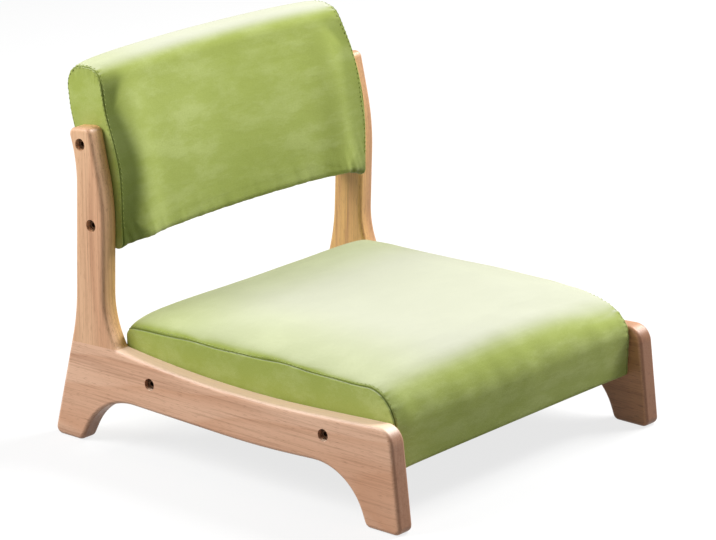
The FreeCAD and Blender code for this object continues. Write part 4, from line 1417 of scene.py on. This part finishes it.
@dataclass
class BackCushion(Cushion):
    """The backrest: curved in plan, leaning back, one skin over its front, top and rear.

    Attributes:
        bottom: The height of its hem.
        top: The height of its top at the ends.
        sag: How far its middle lies behind its ends.
        ear_drop: How far its lower corners hang.
        right_ear_drop: How much more the right one hangs.
        pillow: How far its front swells near the ends.
        roll_share: The share of half its width over which the front rolls round to the seam.
        taper_from: The height from which it narrows upwards.
        taper_to: The height at which it is narrowest.
        taper_share: The share of its width that it loses there.
    """

    bottom: float = 0.2305
    top: float = 0.4205
    sag: float = 0.015
    ear_drop: float = 0.006
    right_ear_drop: float = 0.0045
    pillow: float = 0.0042
    roll_share: float = 0.20
    taper_from: float = 0.364
    taper_to: float = 0.425
    taper_share: float = 0.034

    def corners(self, station: np.ndarray) -> tuple[np.ndarray, np.ndarray]:
        """Works out the back's section at each station.

        The corners are the rear hem, the front hem, the front's waist, the top's front, the top's
        rear and the rear's waist. All lie back by the sag times one minus the station squared. The
        front rolls back to the seams over the last share of its width and swells by a bell before
        it. The lower corners hang by a high power of the station, and top and rear are fuller by a
        crown.

        Args:
            station: Stations from 0 in the middle to 1 at the seam.

        Returns:
            The corners, stations by corners by 2, and their radii, stations by corners.
        """
        wide = crown(station, 8)
        tight = 1 - np.clip(1 - (1 - station) / self.roll_share, 0, 1) ** 1.6
        hollow = self.sag * (1 - station ** 2)
        one = np.ones_like(wide)
        pillow = self.pillow * bell(station, 0.79, 0.105)
        rear = -0.002 * wide - hollow
        low = self.bottom - self.ear_drop * station ** 16
        high = self.top + 0.0028 * wide
        points = [
            (0.039 + rear, low),
            (0.089 + 0.008 * tight + 0.7 * pillow - hollow, low),
            (0.0885 + 0.006 * tight + pillow - hollow, 0.317 + 0.006 * tight),
            (0.0490 + 0.0015 * tight - hollow, high),
            (-0.001 + rear, high),
            (0.0345 + rear, 0.300 * one),
        ]
        radii = [0.008 * one, 0.008 * one, 0.24 + 0.135 * wide, 0.020 + 0.008 * wide,
                 0.020 - 0.003 * wide, 0.350 * one]
        return np.array(points).transpose(2, 0, 1), np.array(radii).T

    def draws(self) -> np.ndarray:
        """Returns the draw of each side: the end panel is nearly flat."""
        return np.full(6, 0.0012)

    def steps(self) -> tuple[Steps, Steps]:
        """Returns the coarse steps around the back's section."""
        return (4, 4, 10, 7, 7, 8), (5, 5, 4, 2, 4, 5)

    def held(self, points: np.ndarray, run: np.ndarray) -> np.ndarray:
        """Holds the seams, the hem under the frame and the roll over the top.

        Args:
            points: The form, stations by outline points by 3.
            run: Distances from the nearer seam, positive on the end panels.

        Returns:
            How firmly each point is held, from 0 to 1.
        """
        height = points[..., 2]
        hem = np.clip((self.bottom + 0.032 - height) / 0.03, 0, 1)
        roll = ramp(height - self.top, -0.045, 0.03)
        return np.maximum(super().held(points, run), np.maximum(hem, roll))

    def warped(self, points: np.ndarray) -> np.ndarray:
        """Narrows the cushion above its frame and lets its lower right corner hang.

        The share taken off x rises with height as three times its square less twice its cube. The
        corner sinks by a bell of x.

        Args:
            points: The form, stations by outline points by 3.

        Returns:
            The narrowed form.
        """
        height = points[..., 2]
        climb = ramp(height, self.taper_from, self.taper_to - self.taper_from)
        climb = climb * climb * (3 - 2 * climb)
        corner = bell(points[..., 0], self.seam_half, 0.022)
        low = np.clip((0.262 - height) / 0.025, 0, 1)
        warped = points.copy()
        warped[..., 0] *= 1 - self.taper_share * climb
        warped[..., 2] -= self.right_ear_drop * corner * low
        return warped

    def folds(self, points: np.ndarray) -> np.ndarray:
        """Gathers the front's lower hem.

        The gathers are uneven waves of a slanted x, stronger towards both ends, that fade with the
        height above the hem.

        Args:
            points: The form, stations by outline points by 3.

        Returns:
            How far they lift each point.
        """
        above = np.clip(points[..., 2] - self.bottom, 0, None)
        front = ramp(depth_of(points), 0.055, 0.02)
        slant = points[..., 0] + 0.4 * above
        waves = uneven_waves(slant, (0.011, 0.017, 0.029, 0.047), 33)
        ends = 1 + 1.4 * ramp(np.abs(points[..., 0]), 0.15, 0.03)
        return 0.0006 * ends * front * fading(above, 0.018) * waves

    def painted_edge_shade(self, points: np.ndarray, run: np.ndarray) -> np.ndarray:
        """Paints shade along the front's hem and on its rolled ends, most on the left one.

        It falls off from the ends like half a bell, and fades raggedly with the height above the
        hem.

        Args:
            points: The form, stations by outline points by 3.
            run: Distances from the nearer seam, positive on the end panels.

        Returns:
            How much painted shade darkens each point, from 0 to 1.
        """
        height = points[..., 2]
        front = ramp(depth_of(points), 0.046, 0.012) * (run < 0)
        end = shoulder(-run - 0.021, 0.010)
        slant = points[..., 0] + 0.2 * height
        ragged = 1 + 0.35 * uneven_waves(slant, (0.013, 0.023, 0.041), 51)
        hem = fading(height - self.bottom, 0.0085 * ragged)
        side = np.where(points[..., 0] < 0, 1.0, 0.45)
        return front * np.clip(0.95 * side * end + 0.5 * hem, 0, 0.95)

    def gather_strength(self, edge: np.ndarray) -> np.ndarray:
        """Gathers most round the top of the end panel."""
        return 0.5 + 2.2 * bell(edge[:, 2] - self.top, -0.006, 0.026)


@dataclass
class TopStitch:
    """A row of thread stitches that runs along a seam at a steady distance.

    Attributes:
        offset: The row's distance from the seam, positive on the end panel.
        lowest: The height below which there are no stitches.
        length: A stitch's length.
        pitch: The distance from one stitch's start to the next.
        radius: The thread's radius.
        lift: The height of a stitch's arch over its ends, in radii.
        sink: How far its ends lie in the cloth, in radii.
        tip: The share of its girth that a stitch has at its ends.
        sides: Sides of its tube.
        rings: Rings along its tube.
        smoothing: How often the row's path is averaged.
        first: The first stitch's distance along the path.
    """

    offset: float
    lowest: float
    length: float = 0.0036
    pitch: float = 0.0055
    radius: float = 0.00042
    lift: float = 1.6
    sink: float = 0.8
    tip: float = 0.35
    sides: int = 6
    rings: int = 5
    smoothing: int = 6
    first: float = 0.002

    def _path(self, skin: Skin, rows: np.ndarray) -> tuple[np.ndarray, np.ndarray]:
        """Finds the row's path.

        It joins, column by column, the points whose run from the seam is nearest to the offset,
        from where the closed outline rises over the lowest height to where it falls below.

        Args:
            skin: The cushion's surface.
            rows: The stations to search, those of one end of the cushion.

        Returns:
            The path and its outward normals, both points by 3.
        """
        near = np.argmin(np.abs(skin.from_seam[rows] - self.offset), axis=0)
        columns = np.arange(skin.points.shape[1])
        path = smooth_path(skin.points[rows][near, columns], self.smoothing)
        out = skin.normals[rows][near, columns]
        keep = path[:, 2] > self.lowest
        start = int(np.argmax(keep & ~np.roll(keep, 1)))
        return (np.roll(path, -start, axis=0)[:keep.sum()],
                np.roll(out, -start, axis=0)[:keep.sum()])

    def mesh_parts(self, skin: Skin, rows: np.ndarray) -> tuple[np.ndarray, list[list[int]]]:
        """Returns the mesh of one row of stitches.

        Each stitch is a tube whose spine is lifted off the cloth by a half sine, so that both of
        its ends dip into it.

        Args:
            skin: The cushion's surface.
            rows: The stations to search, those of one end of the cushion.

        Returns:
            The points and the faces that join them.
        """
        path, out = self._path(skin, rows)
        along = path_lengths(path)
        starts = np.arange(self.first, along[-1] - self.length, self.pitch)
        share = np.linspace(0, 1, self.rings)
        places = starts[:, None] + share[None] * self.length
        spine, normal = (np.stack([np.interp(places, along, values[:, axis]) for axis in range(3)],
                                  axis=2) for values in (path, out))
        normal /= np.linalg.norm(normal, axis=2, keepdims=True)
        arch = np.sin(math.pi * share)
        spine += normal * (self.radius * (self.lift * arch - self.sink))[None, :, None]
        side = np.cross(np.gradient(spine, axis=1), normal)
        side /= np.linalg.norm(side, axis=2, keepdims=True)
        angle = (np.arange(self.sides) * math.tau / self.sides)[:, None]
        girth = self.radius * (self.tip + (1 - self.tip) * arch ** 0.5)[None, :, None, None]
        spoke = side[:, :, None] * np.cos(angle) + normal[:, :, None] * np.sin(angle)
        points = spine[:, :, None] + spoke * girth
        index = np.arange(points[..., 0].size).reshape(points.shape[:3])
        after = np.roll(index, -1, axis=2)
        quads = np.stack([index[:, :-1], after[:, :-1], after[:, 1:], index[:, 1:]], axis=-1)
        ends = np.concatenate([index[:, 0, ::-1], index[:, -1]])
        return points.reshape(-1, 3), quads.reshape(-1, 4).tolist() + ends.tolist()


# Sub-assemblies


@dataclass
class SideFrames:
    """The two wooden side frames, each a rail with its upright glued on top.

    Attributes:
        pale: The left rail.
        deep: The rings of both rails and uprights.
        streak: The streaks of the left rail and of the uprights.
        honey: The left upright.
        tan: The right upright.
        golden: The painted golden bounce light on both uprights towards their inner faces.
        darker_board_and_painted_shade: The right rail, a darker board that also carries painted
            shade from the seat above it.
        darker_streak_and_painted_shade: The right rail's streaks, darker for the same painted
            shade.
        edge: The painted highlight on the left rail where it looks up.
    """

    pale: Colour = srgb(236, 194, 163)
    deep: Colour = srgb(204, 146, 108)
    streak: Colour = srgb(142, 88, 54)
    honey: Colour = srgb(234, 191, 150)
    tan: Colour = srgb(206, 160, 116)
    golden: Colour = srgb(232, 184, 114)
    darker_board_and_painted_shade: Colour = srgb(186, 134, 92)
    darker_streak_and_painted_shade: Colour = srgb(112, 66, 38)
    edge: Colour = srgb(246, 220, 194)

    def dress(self) -> None:
        """Gives every board its own stretch of grain."""
        # The right rail's darker colours are partly its own board and partly painted shade.
        looks = (("left", self.pale, self.streak, self.edge, self.honey),
                 ("right", self.darker_board_and_painted_shade, self.darker_streak_and_painted_shade, None, self.tan))
        for number, (side, rail_colour, rail_streak, edge, upright_colour) in enumerate(looks):
            # The rails' strong end grain darkening also paints shade on the feet's front faces and
            # arches.
            rail = Timber(side + "_rail_timber", rail_colour, self.deep, rail_streak, Run.DEPTH,
                          offset=(0.31 * number, 0.012 * number, 0.01), pith_across=-0.05,
                          pith_deep=-0.05, lean=0.03, ring_spacing=0.0055, end_grain_and_painted_shade=0.62,
                          painted_top_highlight=edge)
            upright = Timber(side + "_upright_timber", upright_colour, self.deep, self.streak,
                             Run.UPRIGHT, painted_bounce_light=self.golden,
                             offset=(0.2 + 0.27 * number, 0.02, 0.03), pith_across=-0.19,
                             pith_deep=0.06, lean=0.02, ring_spacing=0.005, end_grain_and_painted_shade=0.1)
            dress_nodes(rail.build(), side + "_side_rail")
            dress_nodes(upright.build(), side + "_upright")


@dataclass
class Fasteners:
    """Bolts, washers, inserts and dowels."""

    def dress(self) -> None:
        """Gives the metal parts their plating and the dowels their beech."""
        bronzed = Steel("bronzed_steel", srgb(84, 62, 46), srgb(128, 96, 70), roughness=0.4)
        zinced = Steel("zinced_steel", srgb(176, 178, 176), srgb(140, 142, 140), roughness=0.35)
        beech = Timber("dowel_beech", srgb(214, 178, 134), srgb(190, 150, 106), srgb(150, 110, 72),
                       Run.UPRIGHT, lacquer=0.0, roughness=0.6)
        dress_nodes(bronzed.build(), "seat_bolts", "back_bolts", "seat_washers", "back_washers")
        dress_nodes(zinced.build(), "seat_inserts", "back_inserts", "back_panel_screws")
        dress_nodes(beech.build(), "upright_dowels")


@dataclass
class InnerFrames:
    """The softwood and plywood inside both cushions, and the seat's dust cover."""

    def dress(self) -> None:
        """Gives each inner board its timber, laid along its length."""
        pale, deep, streak = srgb(222, 190, 140), srgb(200, 158, 104), srgb(158, 112, 66)
        boards = {
            ("softwood_depth", Run.DEPTH): ("seat_left_rail", "seat_right_rail"),
            ("softwood_width", Run.WIDTH): ("seat_front_rail", "seat_rear_rail",
                                            "seat_corner_blocks"),
            ("softwood_upright", Run.UPRIGHT): ("back_left_post", "back_right_post"),
            ("plywood_face", Run.WIDTH): ("seat_board", "back_panel"),
        }
        for (name, run), nodes in boards.items():
            timber = Timber(name, pale, deep, streak, run, lacquer=0.0, roughness=0.62)
            dress_nodes(timber.build(), *nodes)
        foam = CushionFoam("cushion_foam", srgb(240, 230, 190), srgb(206, 190, 140))
        dress_nodes(foam.build(), "seat_foam", "back_foam")
        felt = FeltedCloth("dust_cloth", srgb(30, 30, 31), srgb(62, 62, 64))
        dress_nodes(felt.build(), "seat_dust_cover")


@dataclass
class Upholstery:
    """Both cushions in their green napped cloth, and the stitches along their seams."""

    colour: Colour = srgb(173, 186, 100)
    brushed: Colour = srgb(190, 202, 126)
    shaded: Colour = srgb(141, 155, 60)

    def build(self) -> None:
        """Builds the seat, the back cushion and their stitches."""
        cloth = NappedCloth("green_napped_cloth", self.colour, self.brushed, self.shaded).build()
        thread = NappedCloth("green_thread", srgb(166, 177, 96), srgb(178, 190, 112),
                             srgb(134, 148, 66), sheen=0.3).build()
        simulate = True
        seat = SeatCushion(seam_half=0.2040, end_half=0.2067).skin(simulate)
        seat_piece = self._cushion("seat_cushion", seat, cloth, "seat_cover", "seat_foam",
                                   "seat_left_gusset", "seat_right_gusset")
        back = BackCushion(seam_half=0.2055, end_half=0.2067, seed=11,
                           seam=Seam(darkness=0.45, sway=0.0004)).skin(simulate)
        back_piece = self._cushion("back_cushion", back, cloth, "back_cover", "back_foam",
                                   "back_left_end_panel", "back_right_end_panel")
        self._stitches("seat_stitches", seat, thread, [TopStitch(-0.0030, lowest=0.085)])
        self._stitches("back_stitches", back, thread, [TopStitch(-0.0032, lowest=0.245),
                                                       TopStitch(0.0030, lowest=0.245)])

    @staticmethod
    def _cushion(name: str, skin: Skin, cloth: bpy.types.Material,
                 *replaced: str) -> bpy.types.Object:
        """Makes a cushion of a skin, with its painted shade as an attribute for the cloth.

        Args:
            name: The piece's name.
            skin: Its surface.
            cloth: Its finish.
            *replaced: The CAD nodes that it stands for.

        Returns:
            The new piece.
        """
        mesh = grid_mesh(name, skin.points)
        # The attribute carries the painted shade of seams, rolled ends and hems.
        shade = mesh.attributes.new("painted_shade_amount", "FLOAT", "POINT")
        shade.data.foreach_set("value", np.concatenate([skin.shade.reshape(-1), [0.0, 0.0]]))
        return new_piece(name, mesh, cloth, "suede_cloth", *replaced)

    @staticmethod
    def _stitches(name: str, skin: Skin, thread: bpy.types.Material,
                  rows: list[TopStitch]) -> None:
        """Sews rows of stitches along the seams at both ends of a cushion.

        Args:
            name: The piece's name.
            skin: The cushion's surface.
            thread: The stitches' finish.
            rows: The rows at each end.
        """
        half = len(skin.points) // 2
        points, faces, total = [], [], 0
        for stations in (np.arange(half), np.arange(half, len(skin.points))):
            for row in rows:
                row_points, row_faces = row.mesh_parts(skin, stations)
                points.append(row_points)
                faces += [[corner + total for corner in face] for face in row_faces]
                total += len(row_points)
        mesh = closed_mesh(name, np.concatenate(points), faces)
        new_piece(name, mesh, thread, "suede_cloth")


# Camera, light and floor


@dataclass(frozen=True)
class SoftLamp:
    """A soft square lamp: its name, place, width and power."""

    name: str
    place: Place
    width: float
    power: float


@dataclass
class Studio:
    """The camera, lamps, world and floor.

    Attributes:
        photo_width: The photograph's width in pixels.
        focal_length: Its focal length in pixels.
        azimuth: The camera's angle round the chair, from the front towards +X, in degrees.
        elevation: Its angle above the floor, in degrees.
        distance: Its distance from the aim.
        aim: The point that it looks at.
        sensor_width: The width of its sensor, in millimetres.
        lamps: The lamps.
        lamp_aim: The point that they face.
        fill: The strength of the world's light on the chair.
        floor_reach: Half the floor's width.
        floor_unseen: The floor's tone for the light that it throws on the chair.
        floor_seen: Its tone in the picture.
        floor_glow: The share of plain white that lightens its shadow in the picture.
    """

    photo_width: float = 716.0
    focal_length: float = 3698.3
    azimuth: float = -49.88
    elevation: float = 17.4412
    distance: float = 4.1122
    aim: Place = (0.00683, 0.0, 0.18295)
    sensor_width: float = 36.0
    lamps: tuple[SoftLamp, ...] = (
        SoftLamp("key_lamp", (1.87, -0.50, 1.98), 1.3, 113.0),
        SoftLamp("side_lamp", (-1.55, 1.25, 1.85), 1.4, 68.0))
    lamp_aim: Place = (0.0, 0.0, 0.2)
    fill: float = 0.16
    floor_reach: float = 7.0
    floor_unseen: Colour = (0.32, 0.32, 0.32, 1.0)
    floor_seen: Colour = (0.86, 0.86, 0.86, 1.0)
    floor_glow: float = 0.78

    def build(self) -> None:
        """Sets up everything round the chair."""
        self._camera()
        for lamp in self.lamps:
            self._lamp(lamp)
        self._world()
        self._floor()
        bpy.context.scene.view_settings.view_transform = "Standard"

    def _camera(self) -> None:
        """Puts the camera where the photograph was taken from, at its angle of view."""
        turn, lift = math.radians(self.azimuth), math.radians(self.elevation)
        back = Vector((math.sin(turn) * math.cos(lift), -math.cos(turn) * math.cos(lift),
                       math.sin(lift)))
        lens = bpy.data.cameras.new("camera")
        lens.sensor_width = self.sensor_width
        lens.lens = self.focal_length / self.photo_width * self.sensor_width
        camera = place_in_scene("camera", lens)
        camera.location = Vector(self.aim) + back * self.distance
        camera.rotation_euler = back.to_track_quat("Z", "Y").to_euler()
        bpy.context.scene.camera = camera

    def _lamp(self, lamp: SoftLamp) -> None:
        """Adds a lamp that faces the chair.

        Args:
            lamp: The lamp.
        """
        light = bpy.data.lights.new(lamp.name, "AREA")
        light.size = lamp.width
        light.energy = lamp.power
        holder = place_in_scene(lamp.name, light)
        holder.location = lamp.place
        away = Vector(lamp.place) - Vector(self.lamp_aim)
        holder.rotation_euler = away.to_track_quat("Z", "Y").to_euler()

    @staticmethod
    def _seen_directly(shader: Shader) -> Socket:
        """Tells rays that come from the camera, a mirror or glass from the rest.

        Args:
            shader: The shader that needs it.

        Returns:
            1 for such rays and 0 for the rest.
        """
        path = shader.add("LightPath").outputs
        glossy = shader.math("MAXIMUM", path["Is Camera Ray"], path["Is Glossy Ray"])
        return shader.math("MAXIMUM", glossy, path["Is Transmission Ray"])

    def _world(self) -> None:
        """Gives even light from all round, and white where the camera sees past the floor."""
        world = bpy.data.worlds.new("studio")
        shader = Shader.of(world)
        strength = shader.remap(self._seen_directly(shader), 0.0, 1.0, to_low=self.fill)
        light = shader.add("Background", Color=WHITE, Strength=strength)
        shader.add("OutputWorld", Surface=light.outputs[0])
        bpy.context.scene.world = world

    def _floor(self) -> None:
        """Lays a pale floor that keeps the chair's shadow."""
        reach = self.floor_reach
        mesh = bpy.data.meshes.new("floor")
        mesh.from_pydata([(-reach, -reach, 0.0), (reach, -reach, 0.0), (reach, reach, 0.0),
                          (-reach, reach, 0.0)], [], [(0, 1, 2, 3)])
        floor = place_in_scene("floor", mesh)
        material = bpy.data.materials.new("pale_floor")
        shader = Shader.of(material)
        bare = shader.mix(self._seen_directly(shader), self.floor_unseen, self.floor_seen)
        painted = shader.add("BsdfDiffuse", Color=bare)
        glow = shader.add("Emission", Color=WHITE, Strength=1.0)
        share = shader.math("MULTIPLY", self._seen_directly(shader), self.floor_glow)
        both = shader.add("MixShader", i0=share, i1=painted.outputs[0], i2=glow.outputs[0])
        shader.add("OutputMaterial", Surface=both.outputs[0])
        mesh.materials.append(material)


def main() -> None:
    """Builds the chair's looks in order."""
    logging.basicConfig(level=logging.INFO, format="%(name)s %(message)s")
    Studio().build()
    SideFrames().dress()
    Fasteners().dress()
    InnerFrames().dress()
    Upholstery().build()


if __name__ == "__main__":
    main()
